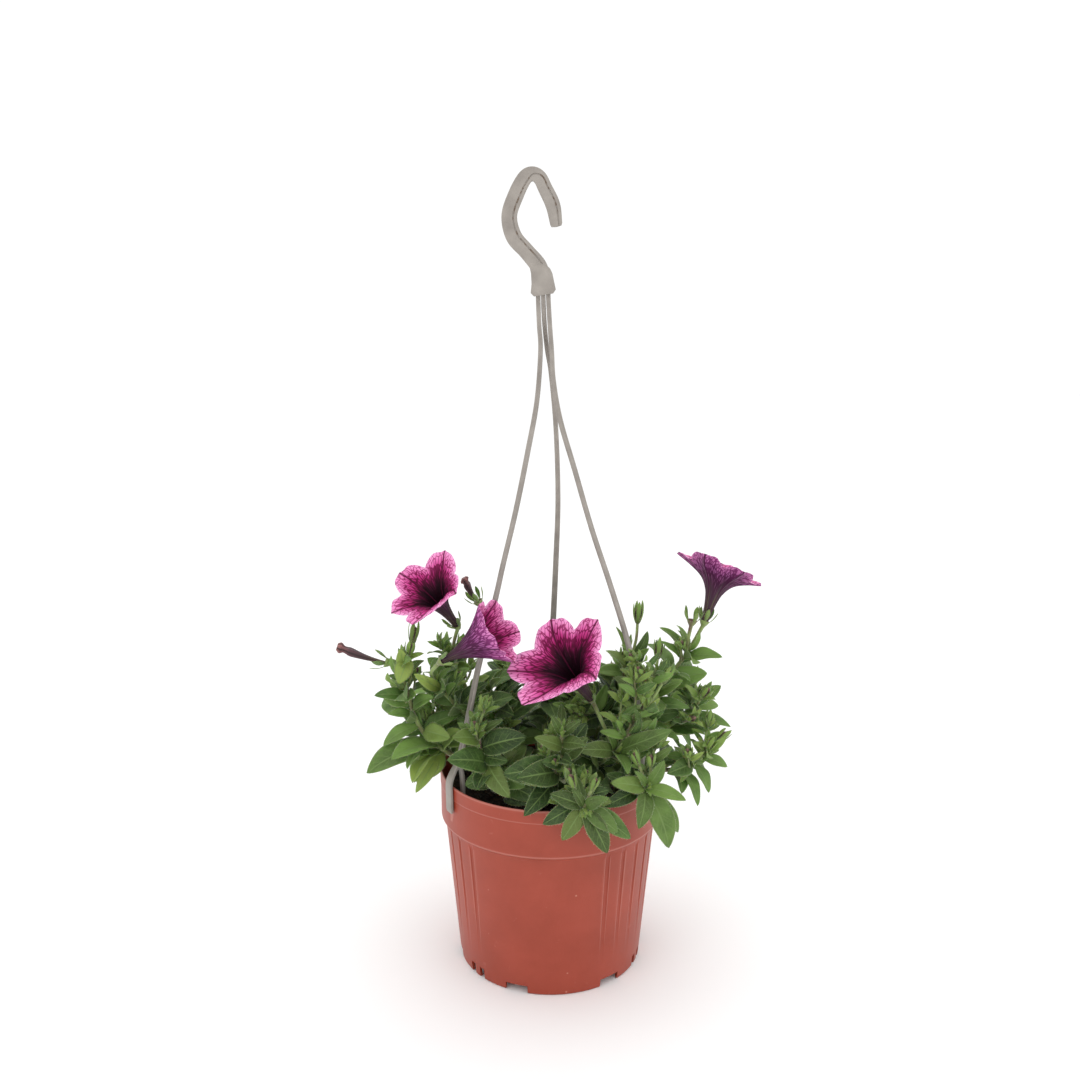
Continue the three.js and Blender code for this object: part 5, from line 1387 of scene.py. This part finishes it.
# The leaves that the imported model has, each where its node holds it. Four are young and pale.
YOUNG_LEAVES = {(-84, -30, 0), (-83, -46, 7), (-82, -34, 72), (40, -34, 46)}
for index, stem in enumerate(STEMS):
    name, rng = stem["name"], random.Random(LEAF_SEED + index)
    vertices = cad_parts[name].data.vertices
    node_points = kdtree.KDTree(len(vertices))
    for k, vertex in enumerate(vertices):
        node_points.insert(vertex.co, k)
    node_points.balance()
    leaves = [(stem_point(stem["path"], at), tip, width, at) for at, tip, width in stem["leaves"]]
    for middle, tip, width, at in leaves + ruled_leaves(stem, random_source(index + 1)):
        leaf = standing_leaf(node_points, middle, tip, width)
        if leaf is None:
            continue
        # Leaves far out to the sides are drawn lighter and those near the middle darker: painted light and
        # painted shade.
        outer = min(1, max(-1, (abs(tip[0]) - 55) / 35))
        shade = rng.uniform(0.15, 0.75) + 0.3 * outer
        young = max(0, rng.uniform(-0.8, 0.3)) + 0.15 * max(0, at - 0.8) / 0.2
        tint = (0.8, 0.95, 0) if tuple(tip) in YOUNG_LEAVES else (shade, young, 0)
        blade, margins = leaf_blade(*leaf, tint, phase=rng.random(), wavy=rng.uniform(0.03, 0.12))
        stem_shells[name] += [blade, margin_hairs(margins, rng)]
        claim("leaf", *sheet_of(blade))

# Between them the shoots carry more leaves, side shoots with small buds, and tufts at the tips.
# These side shoots and leaves stand where they show: each shoot leaves its stem at a place and
# follows points, with leaves of a length and a slimness.
PLACED_SHOOTS = {
    "stem_left_outer": [
        (0.97, [(-88, -24, 71), (-86, -25, 80)], 12, 0.45), (0.45, [(-72, -16, 34), (-70, -12, 44)], 14, 0.5),
    ],
    "stem_left_low": [(0.55, [(-66, -14, 24), (-67, -13, 34)], 15, 0.5)],
    "stem_left_front": [
        (0.5, [(-56, -12, 38), (-65, -11, 45)], 14, 0.5), (0.4, [(-52, -12, 30), (-62, -12, 33)], 14, 0.5),
    ],
    "stem_centre_left": [(0.97, [(-42, -43, 45), (-39, -44, 54)], 12, 0.33)],
    "stem_centre": [
        (0.97, [(45, -48, 38), (50, -46, 58), (49, -43, 72)], 13, 0.33),
        (0.93, [(50, -48, 33), (58, -45, 46), (57, -43, 56)], 13, 0.33),
        (0.98, [(40, -47, 42), (42, -44, 60)], 12, 0.33), (0.85, [(42, -50, 24), (52, -52, 32)], 12, 0.33),
        (0.9, [(44, -49, 36), (54, -47, 50), (55, -44, 63)], 12, 0.33),
    ],
    "stem_centre_back": [
        (0.55, [(4, 2, 36), (12, -10, 40)], 15, 0.5), (0.7, [(8, 4, 44), (18, -4, 46)], 14, 0.5),
        (0.9, [(-2, 4, 54), (-6, -2, 58)], 13, 0.5),
    ],
    "stem_front_right": [(0.9, [(56, -55, 20), (63, -50, 33)], 12, 0.33)],
    "stem_right_inner": [
        (0.5, [(28, -4, 36), (20, -14, 38)], 15, 0.5), (0.6, [(30, -2, 46), (24, -10, 48)], 13, 0.45),
    ],
    "stem_right_front": [
        (0.93, [(61, -30, 62), (54, -40, 74)], 11, 0.33), (0.8, [(62, -31, 50), (55, -42, 64)], 12, 0.33),
        (0.97, [(62, -30, 68), (50, -38, 82)], 11, 0.33),
    ],
    "stem_right_mid": [
        (0.9, [(88, -22, 46), (92, -26, 54)], 11, 0.33), (0.7, [(80, -22, 36), (84, -32, 42)], 12, 0.33),
    ],
    "stem_right_low": [
        (0.8, [(84, -40, 14), (82, -46, 24)], 11, 0.33), (0.9, [(94, -30, 27), (96, -26, 36)], 10, 0.33),
    ],
}
PLACED_LEAVES = {
    "stem_left_outer": [((-86, -25, 79), (-91, -36, 66), 12), ((-88, -24, 71), (-90, -31, 87), 9)],
    "stem_left_low": [((-67, -18, 17), (-83, -37, 4), 17), ((-69, -22, 16), (-82, -40, -2), 9)],
    "stem_centre_back": [((1, 9, 52), (20, 3, 36), 15), ((0, 8, 44), (18, -4, 26), 14)],
}
FRESH_TIPS = {"stem_left_outer", "stem_left_low"}
# How many more leaves and side shoots the fuller stems carry, and how many each other stem does.
# Then the stems whose leaves are shorter and narrower.
LEAVES_EACH, SHOOTS_EACH = 14, 4
MORE_LEAVES = {
    "stem_left_low": 16, "stem_left_outer": 16, "stem_centre_back": 26, "stem_left_upper": 20,
    "stem_centre": 18, "stem_right_inner": 20,
}
MORE_SHOOTS = {"stem_right_mid": 7, "stem_right_upper": 6, "stem_right_inner": 7, "stem_right_front": 7}
SLENDER = {
    "stem_right_mid", "stem_right_upper", "stem_right_front", "stem_right_low", "stem_front",
    "stem_front_right",
}
for index, stem in enumerate(STEMS):
    path, name, rng = stem["path"], stem["name"], random.Random(FILL_SEED + index)
    shells = stem_shells[name]
    for at, route, size, slim in PLACED_SHOOTS.get(name, []):
        route = [stem_point(path, at)] + route
        shells += side_shoot(name, route, size, rng, rng.random() < 0.7, slim, sure=True)
    for base, tip, width in PLACED_LEAVES.get(name, []):
        tint = (0.75, 0.8 if name in FRESH_TIPS else 0, 0)
        face = np.array([0, -1, 0.3])
        blade, margins = leaf_blade(base, tip, width, tint, fold=0.25, face=face, phase=rng.random())
        shells += [blade, margin_hairs(margins, rng)]
        claim("leaf", *sheet_of(blade))
    twist = 360 * rng.random()
    count = MORE_LEAVES.get(name, LEAVES_EACH)
    for k in range(count):
        at = 0.12 + 0.8 * (k + rng.random()) / count
        length = (38 - 22 * at) * rng.uniform(0.75, 1.1) * (0.82 if name in SLENDER else 1)
        slender = rng.uniform(0.3, 0.44) if name in SLENDER else rng.uniform(0.42, 0.56)
        pitch = math.radians(rng.uniform(-5, 25 + 30 * at))
        root = stem_point(path, at)
        # Leaves far out to the sides are drawn lighter and those near the middle darker: painted light and
        # painted shade.
        outer = min(1, max(-1, (abs(root[0]) - 45) / 35))
        tint = (rng.uniform(0.05, 0.75) + 0.3 * outer, max(0, rng.uniform(-0.5, 0.5)), 0)
        heading = math.radians(twist + GOLDEN_ANGLE * k)
        shells += grow_leaf(root, heading, pitch, length, length * slender, rng, tint)
    for k in range(MORE_SHOOTS.get(name, SHOOTS_EACH)):
        root = stem_point(path, rng.uniform(0.4, 0.95))
        heading = math.radians(twist + 60 + GOLDEN_ANGLE * k)
        rise = direction_of(heading, math.radians(rng.uniform(35, 65)))
        reach = rng.uniform(9, 16)
        middle = root + rise * reach * 0.55
        tip = middle + unit(rise + (0, 0, 0.9)) * reach * 0.5
        shells += side_shoot(name, [root, middle, tip], rng.uniform(9, 13), rng, rng.random() < 0.6)
    shells += tuft(along(path, 1), heading_of(path, 1), rng, rng.uniform(10, 15))
for name, shells in stem_shells.items():
    build_piece("leafy_" + name, shells, LEAF_FINISHES, "foliage", name)

# ================================================================ blooms
# Each bloom is one thin trumpet of five fused petals, flared and waved at its edge. It stands in
# its calyx, near-black in the throat and pink at the edge, with a net of dark crimson veins.

# How a trumpet opens from its foot: the share of its length, and of its radius, point by point.
TRUMPET = [(0, 0.075), (0.3, 0.12), (0.55, 0.21), (0.74, 0.38), (0.88, 0.66), (1, 1)]
WIDE_TRUMPET = [(0, 0.075), (0.25, 0.15), (0.5, 0.33), (0.72, 0.56), (0.88, 0.79), (1, 1)]
PETAL_THICKNESS = 0.7
CALYX_GAP = 0.3
BLOOM_SIDES = 160
OUTSIDE_ROWS = 34
INSIDE_ROWS = 30
BLOOM_SEED = 40
INSIDE, OUTSIDE, FILAMENT, ANTHER = range(4)


def petal_skin(name, ramp, vein_ramp, rib, widths, roughness):
    """A petal's skin: a colour that runs out along it, a dark mid-vein and a net of veins."""
    petal, tree, shader = new_material(name, ramp[-2][1], {
        "Roughness": roughness, "IOR": 1.4, "Specular IOR Level": 0.12, "Subsurface Weight": 0.15,
        "Subsurface Radius": (1.0, 0.35, 0.6), "Subsurface Scale": 0.0008, "Sheen Weight": 0.02,
        "Sheen Roughness": 0.4, "Sheen Tint": to_linear("#f2c6e0"),
    })
    spot = add_node(tree, "Attribute", attribute_name="place").outputs["Vector"]
    along_it, off_middle = add_node(tree, "SeparateXYZ", {0: spot}).outputs[:2]
    net = add_node(tree, "Attribute", attribute_name="net").outputs["Vector"]
    cloud = add_node(tree, "TexNoise", {"Vector": net, "Scale": 0.55, "Detail": 3})
    pull = add_node(tree, "Math", {0: cloud, 1: 0.2, 2: -0.25}, operation="MULTIPLY_ADD")
    pull = add_node(tree, "Math", {0: off_middle, 1: 0.16, 2: pull}, operation="MULTIPLY_ADD")
    outwards = add_node(tree, "Math", {0: along_it, 1: pull}, operation="ADD")
    ground = add_node(tree, "ValToRGB", {"Fac": outwards}, ramp)
    bend = add_node(tree, "TexNoise", {"Vector": net, "Scale": 1.1, "Detail": 1})
    bent = add_node(tree, "Mix", {"Factor": 0.25, 4: net, 5: bend.outputs["Color"]}, data_type="VECTOR")
    bent = bent.outputs[1]
    cells = add_node(tree, "TexVoronoi", {"Vector": bent, "Scale": 1.33}, feature="DISTANCE_TO_EDGE")
    wide = add_node(tree, "Math", {0: along_it, 1: widths[1], 2: widths[0]}, operation="MULTIPLY_ADD")
    inside = add_node(tree, "Math", {0: wide, 1: cells}, operation="SUBTRACT")
    line = add_node(tree, "MapRange", {"Value": inside, "From Min": -0.03, "From Max": 0.07, "To Max": 0.9})
    keel = add_node(tree, "Math", {0: along_it, 1: -0.13, 2: 0.175}, operation="MULTIPLY_ADD")
    keel = add_node(tree, "MapRange", {"Value": off_middle, "From Min": keel, "From Max": 0.01})
    veins = add_node(tree, "Math", {0: line, 1: keel}, operation="MAXIMUM")
    vein = add_node(tree, "ValToRGB", {"Fac": outwards}, vein_ramp)
    veined = add_node(tree, "Mix", {"Factor": line, 6: ground, 7: vein}, data_type="RGBA")
    veined = add_node(tree, "Mix", {"Factor": keel, 6: veined.outputs[2], 7: rib}, data_type="RGBA")
    tree.links.new(veined.outputs[2], shader.inputs["Base Color"])
    relief = add_node(tree, "Bump", {"Height": veins, "Strength": 0.3, "Distance": 0.0003})
    tree.links.new(relief.outputs[0], shader.inputs["Normal"])
    return petal


INSIDE_RAMP = [
    (0.0, "#150a12"), (0.22, "#240c1b"), (0.34, "#5c1039"), (0.46, "#a01f62"), (0.58, "#c63d88"),
    (0.7, "#e06cae"), (0.85, "#ee93c8"), (1.0, "#f5b0da"),
]
INSIDE_VEINS = [
    (0.0, "#10070d"), (0.3, "#220612"), (0.5, "#500a2c"), (0.68, "#741041"), (0.84, "#931f5b"),
    (1.0, "#ad4381"),
]
OUTSIDE_RAMP = [
    (0.0, "#74744c"), (0.08, "#50404a"), (0.25, "#6c3f60"), (0.5, "#955088"), (0.75, "#bd6aa6"),
    (1.0, "#e391c8"),
]
OUTSIDE_VEINS = [(0.0, "#4a3a40"), (0.3, "#3d1633"), (0.6, "#561646"), (1.0, "#8d2f74")]
petal_inside = petal_skin("petal_inner_side", INSIDE_RAMP, INSIDE_VEINS, "#52112f", (0.32, -0.25), 0.5)
petal_outside = petal_skin("petal_outer_side", OUTSIDE_RAMP, OUTSIDE_VEINS, "#46183a", (0.3, -0.18), 0.6)

# Filaments are pale and the anthers are violet with a little pollen. All stand deep in the throat.
filament, tree, shader = new_material("pale_filament", "#5d4059", {"Roughness": 0.5})
shading = add_node(tree, "TexNoise", {"Scale": 300})
shaded = add_node(tree, "ValToRGB", {"Fac": shading}, [(0.3, "#4a3147"), (0.7, "#6b5163")])
tree.links.new(shaded.outputs[0], shader.inputs["Base Color"])
anther, tree, shader = new_material("violet_anther", "#241c2c", {"Roughness": 0.8})
pollen = add_node(tree, "TexNoise", {"Scale": 2500, "Detail": 2})
dusted = add_node(tree, "ValToRGB", {"Fac": pollen}, [(0.45, "#1f1826"), (0.7, "#453f46")])
tree.links.new(dusted.outputs[0], shader.inputs["Base Color"])

# Round the flower: each point's angle, and how far it is from its petal's middle, as a share.
# Then the petals' edge, their wave, and the fold at a petal's middle and at its two seams.
angles = np.arange(BLOOM_SIDES) * 2 * math.pi / BLOOM_SIDES
cosine = np.cos(5 * angles)
from_middle = np.abs((np.degrees(angles) + 36) % 72 - 36) / 36
edge = 0.98 - 0.26 * from_middle**1.9 + 0.05 * np.clip(cosine, 0, 1) ** 20
wave = -0.03 + 0.045 * cosine - 0.065 * cosine**2
keel = -0.05 * np.exp(-((from_middle / 0.16) ** 2))
seam = 0.025 * np.exp(-(((1 - from_middle) / 0.14) ** 2))
petal_sides = BLOOM_SIDES // 5
petal = np.arange(BLOOM_SIDES) // petal_sides
share = smoothstep(0, 1, (np.arange(BLOOM_SIDES) % petal_sides) / petal_sides)[:, None]
bloom_rows = [(t, 0) for t in np.linspace(0, 1, OUTSIDE_ROWS)]
for t in np.linspace(0.995, 0.22, INSIDE_ROWS):
    bloom_rows.append((t, PETAL_THICKNESS * (0.35 if t > 0.99 else 1)))
bloom_finish = [OUTSIDE] * (BLOOM_SIDES * (OUTSIDE_ROWS - 1)) + [INSIDE] * (BLOOM_SIDES * INSIDE_ROWS)
bloom_finish += [OUTSIDE] * BLOOM_SIDES + [INSIDE] * BLOOM_SIDES

for index, (name, bloom) in enumerate(BLOOMS.items()):
    rng = random.Random(BLOOM_SEED + index)
    seat, mouth = np.array(bloom["seat"], float), np.array(bloom["mouth"], float)
    radius = bloom["radius"]
    ahead = unit(mouth - seat)
    level, other = frame_across(ahead)
    foot = seat + CALYX_GAP * ahead
    length = np.linalg.norm(mouth - seat) - CALYX_GAP
    petals = np.array(bloom["petals"], float)
    turn, stretch, bend = (petals[petal] * (1 - share) + petals[(petal + 1) % 5] * share).T
    profile = WIDE_TRUMPET if bloom.get("wide") else TRUMPET
    ruffle = 0.008 * np.sin(11 * angles + 6 * rng.random()) + 0.005 * np.sin(23 * angles + 6 * rng.random())
    rings, places, nets = [], [], []
    for t, inset in bloom_rows:
        height, spread = along(profile, t)
        weight = spread**2
        turned = angles + np.radians(bloom["spin"] + turn * weight)
        out = np.cos(turned)[:, None] * level + np.sin(turned)[:, None] * other
        reach = radius * spread * (1 + (edge * stretch - 1) * weight) - inset
        fold = (keel + seam) * math.sin(math.pi * min(1, spread)) ** 0.7 * (1 if spread > 0.2 else 0.3)
        rise = length * (height + (0.035 if inset else 0) * (1 - spread**8))
        rise = rise + (wave + bend) * radius * weight + ruffle * radius * weight**2 + fold * radius
        rings.append(foot + ahead * rise[:, None] + out * reach[:, None])
        streak = np.full(BLOOM_SIDES, rng.random())
        places.append(np.stack([np.full(BLOOM_SIDES, spread), from_middle, streak], axis=1))
        depth = np.full(BLOOM_SIDES, 4.6 * spread + 0.9 * spread**4 + 20 * index)
        nets.append(np.stack([14 * np.cos(angles), 14 * np.sin(angles), depth], axis=1))
    middles = np.array([(0, 0, 0), (0.1, 0, 0)])
    shells = [{
        **skin(rings, foot, foot + 0.2 * length * ahead), "finish": bloom_finish,
        "place": np.concatenate(places + [middles]), "net": np.concatenate(nets + [middles]),
    }]
    # Five stamens stand round a taller pistil.
    base = foot + 0.2 * length * ahead
    for k in range(6):
        lean = (0 if k == 5 else 0.075) * radius * spoke(2 * math.pi * k / 5, level, other)
        height = (0.27 if k == 5 else 0.22 + 0.02 * (k % 3)) * length
        line = [base + ahead * (height * s - 0.4) + lean * math.sqrt(s) for s in np.linspace(0, 1, 7)]
        stalk, _ = tube(line, [0.22] * 7, 6, FILAMENT)
        head = line[-1] + ball * np.array([0.75, 0.75, 0.9]) * (1.15 if k == 5 else 1)
        shells += [stalk, {"points": head, "faces": ball_faces, "finish": ANTHER}]
    build_piece("corolla_" + name, shells, [petal_inside, petal_outside, filament, anther], "petals", name)

# ================================================================ spent blooms
# Two blooms are over: the trumpet has collapsed into a limp tube, brown and creased along its
# length, with the petals' edge curled up at its end.

# A withered petal is dry and matt, brown from end to end, with painted shade darkening it down in its
# creases.
dry = {"Roughness": 0.75, "Sheen Weight": 0.2}
withered_skin, tree, shader = new_material("withered_petal", "#5c3b3a", dry)
spot = add_node(tree, "Attribute", attribute_name="place").outputs["Vector"]
along_it, crease_shade = add_node(tree, "SeparateXYZ", {0: spot}).outputs[:2]
length_tone = [
    (0.0, "#7a7a4a"), (0.2, "#5f4a3c"), (0.45, "#4a3336"), (0.75, "#5a3a40"), (0.92, "#8a5a5a"),
    (1.0, "#a37069"),
]
brown = add_node(tree, "ValToRGB", {"Fac": along_it}, length_tone)
creased = add_node(tree, "Mix", {"Factor": crease_shade, 6: brown, 7: "#2a1a1b"}, data_type="RGBA")
tree.links.new(creased.outputs[2], shader.inputs["Base Color"])
where = add_node(tree, "TexCoord").outputs["Object"]
crinkle = add_node(tree, "TexNoise", {"Vector": where, "Scale": 900, "Detail": 3})
relief = add_node(tree, "Bump", {"Height": crinkle, "Strength": 0.5, "Distance": 0.0006})
tree.links.new(relief.outputs[0], shader.inputs["Normal"])

SPENT_SEED = 60
SPENT_SIDES = 64
SPENT_RINGS = 30
SPENT_PROFILE = [
    (0.03, 0.3), (0.3, 0.5), (0.5, 0.72), (0.72, 0.95), (0.8, 0.8), (0.86, 0.76), (0.93, 1.12), (1.0, 0.68),
]
for index, (name, bloom) in enumerate(SPENT_BLOOMS.items()):
    rng = random.Random(SPENT_SEED + index)
    seat, mouth = np.array(bloom["seat"], float), np.array(bloom["mouth"], float)
    ahead = unit(mouth - seat)
    level, other = frame_across(ahead)
    length = np.linalg.norm(mouth - seat)
    phases = [6.28 * rng.random() for _ in range(3)]
    rings, places = [], []
    for t in np.linspace(0, 1, SPENT_RINGS):
        share, wide = along(SPENT_PROFILE, t)
        curl = float(smoothstep(0.8, 0.95, share))
        sway = -0.7 * math.sin(4 * share)
        ring = []
        for k in range(SPENT_SIDES):
            angle = 2 * math.pi * k / SPENT_SIDES
            crease = 0.5 + 0.5 * math.cos(4 * angle + 1.6 * share + phases[0])
            fine = math.cos(13 * angle + 5 * share + phases[1])
            fine += 0.7 * math.cos(21 * angle - 9 * share + phases[2])
            size = bloom["radius"] * wide * (0.74 + 0.26 * crease + (0.035 + 0.07 * curl) * fine)
            flat = math.cos(angle) * level + 0.85 * math.sin(angle) * other
            ring.append(seat + (ahead * share * length + other * sway + size * flat))
            # The place's second part is painted shade, darkest down in the creases.
            places.append((share, 0.85 * (1 - crease) ** 1.5, 0))
        rings.append(ring)
    end = seat + ahead * length * 0.985 - other * 0.5
    limp = skin(rings, seat + ahead * CALYX_GAP, end)
    shell = {**limp, "place": np.array(places + [(0, 0, 0), (1, 0.5, 0)])}
    build_piece("withered_" + name, [shell], [withered_skin], "spent_petals", name)

# ================================================================ stage
# A plain pale floor under the pot, and soft daylight from large panels in a white room.

floor_mesh = bpy.data.meshes.new("floor")
low = placed((0, 0, -POT_HEIGHT))[2] - 0.0004
floor_mesh.from_pydata([(-4, -4, low), (4, -4, low), (4, 4, low), (-4, 4, low)], [], [(0, 1, 2, 3)])
floor = bpy.data.objects.new("floor", floor_mesh)
bpy.context.scene.collection.objects.link(floor)
floor_mesh.materials.append(new_material("pale_floor", "#ffffff", {"Roughness": 0.9})[0])
floor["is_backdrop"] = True

world = bpy.data.worlds.new("white_room")
bpy.context.scene.world = world
world.use_nodes = True
world.node_tree.nodes["Background"].inputs["Color"].default_value = to_linear("#ffffff")
world.node_tree.nodes["Background"].inputs["Strength"].default_value = 1.04


def panel(name, position, target, size, power):
    """A square soft light, sized in metres, that looks at its target."""
    light = bpy.data.lights.new(name, "AREA")
    light.shape = "SQUARE"
    light.size = size
    light.energy = power
    lamp = bpy.data.objects.new(name, light)
    lamp.location = position
    lamp.rotation_euler = (Vector(target) - Vector(position)).to_track_quat("-Z", "Y").to_euler()
    bpy.context.scene.collection.objects.link(lamp)


heart = (0.01, 0, -0.34)
panel("key_panel", (-0.9, -1.1, 0.7), heart, 0.9, 2.6)
panel("fill_panel", (1.2, -0.9, 0.2), heart, 1.0, 1.8)
panel("top_panel", (0.1, 0.3, 1.2), heart, 1.0, 3)

bpy.context.scene.view_settings.view_transform = "Standard"

reach = {"cad": CAD_BOX, "visual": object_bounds()}
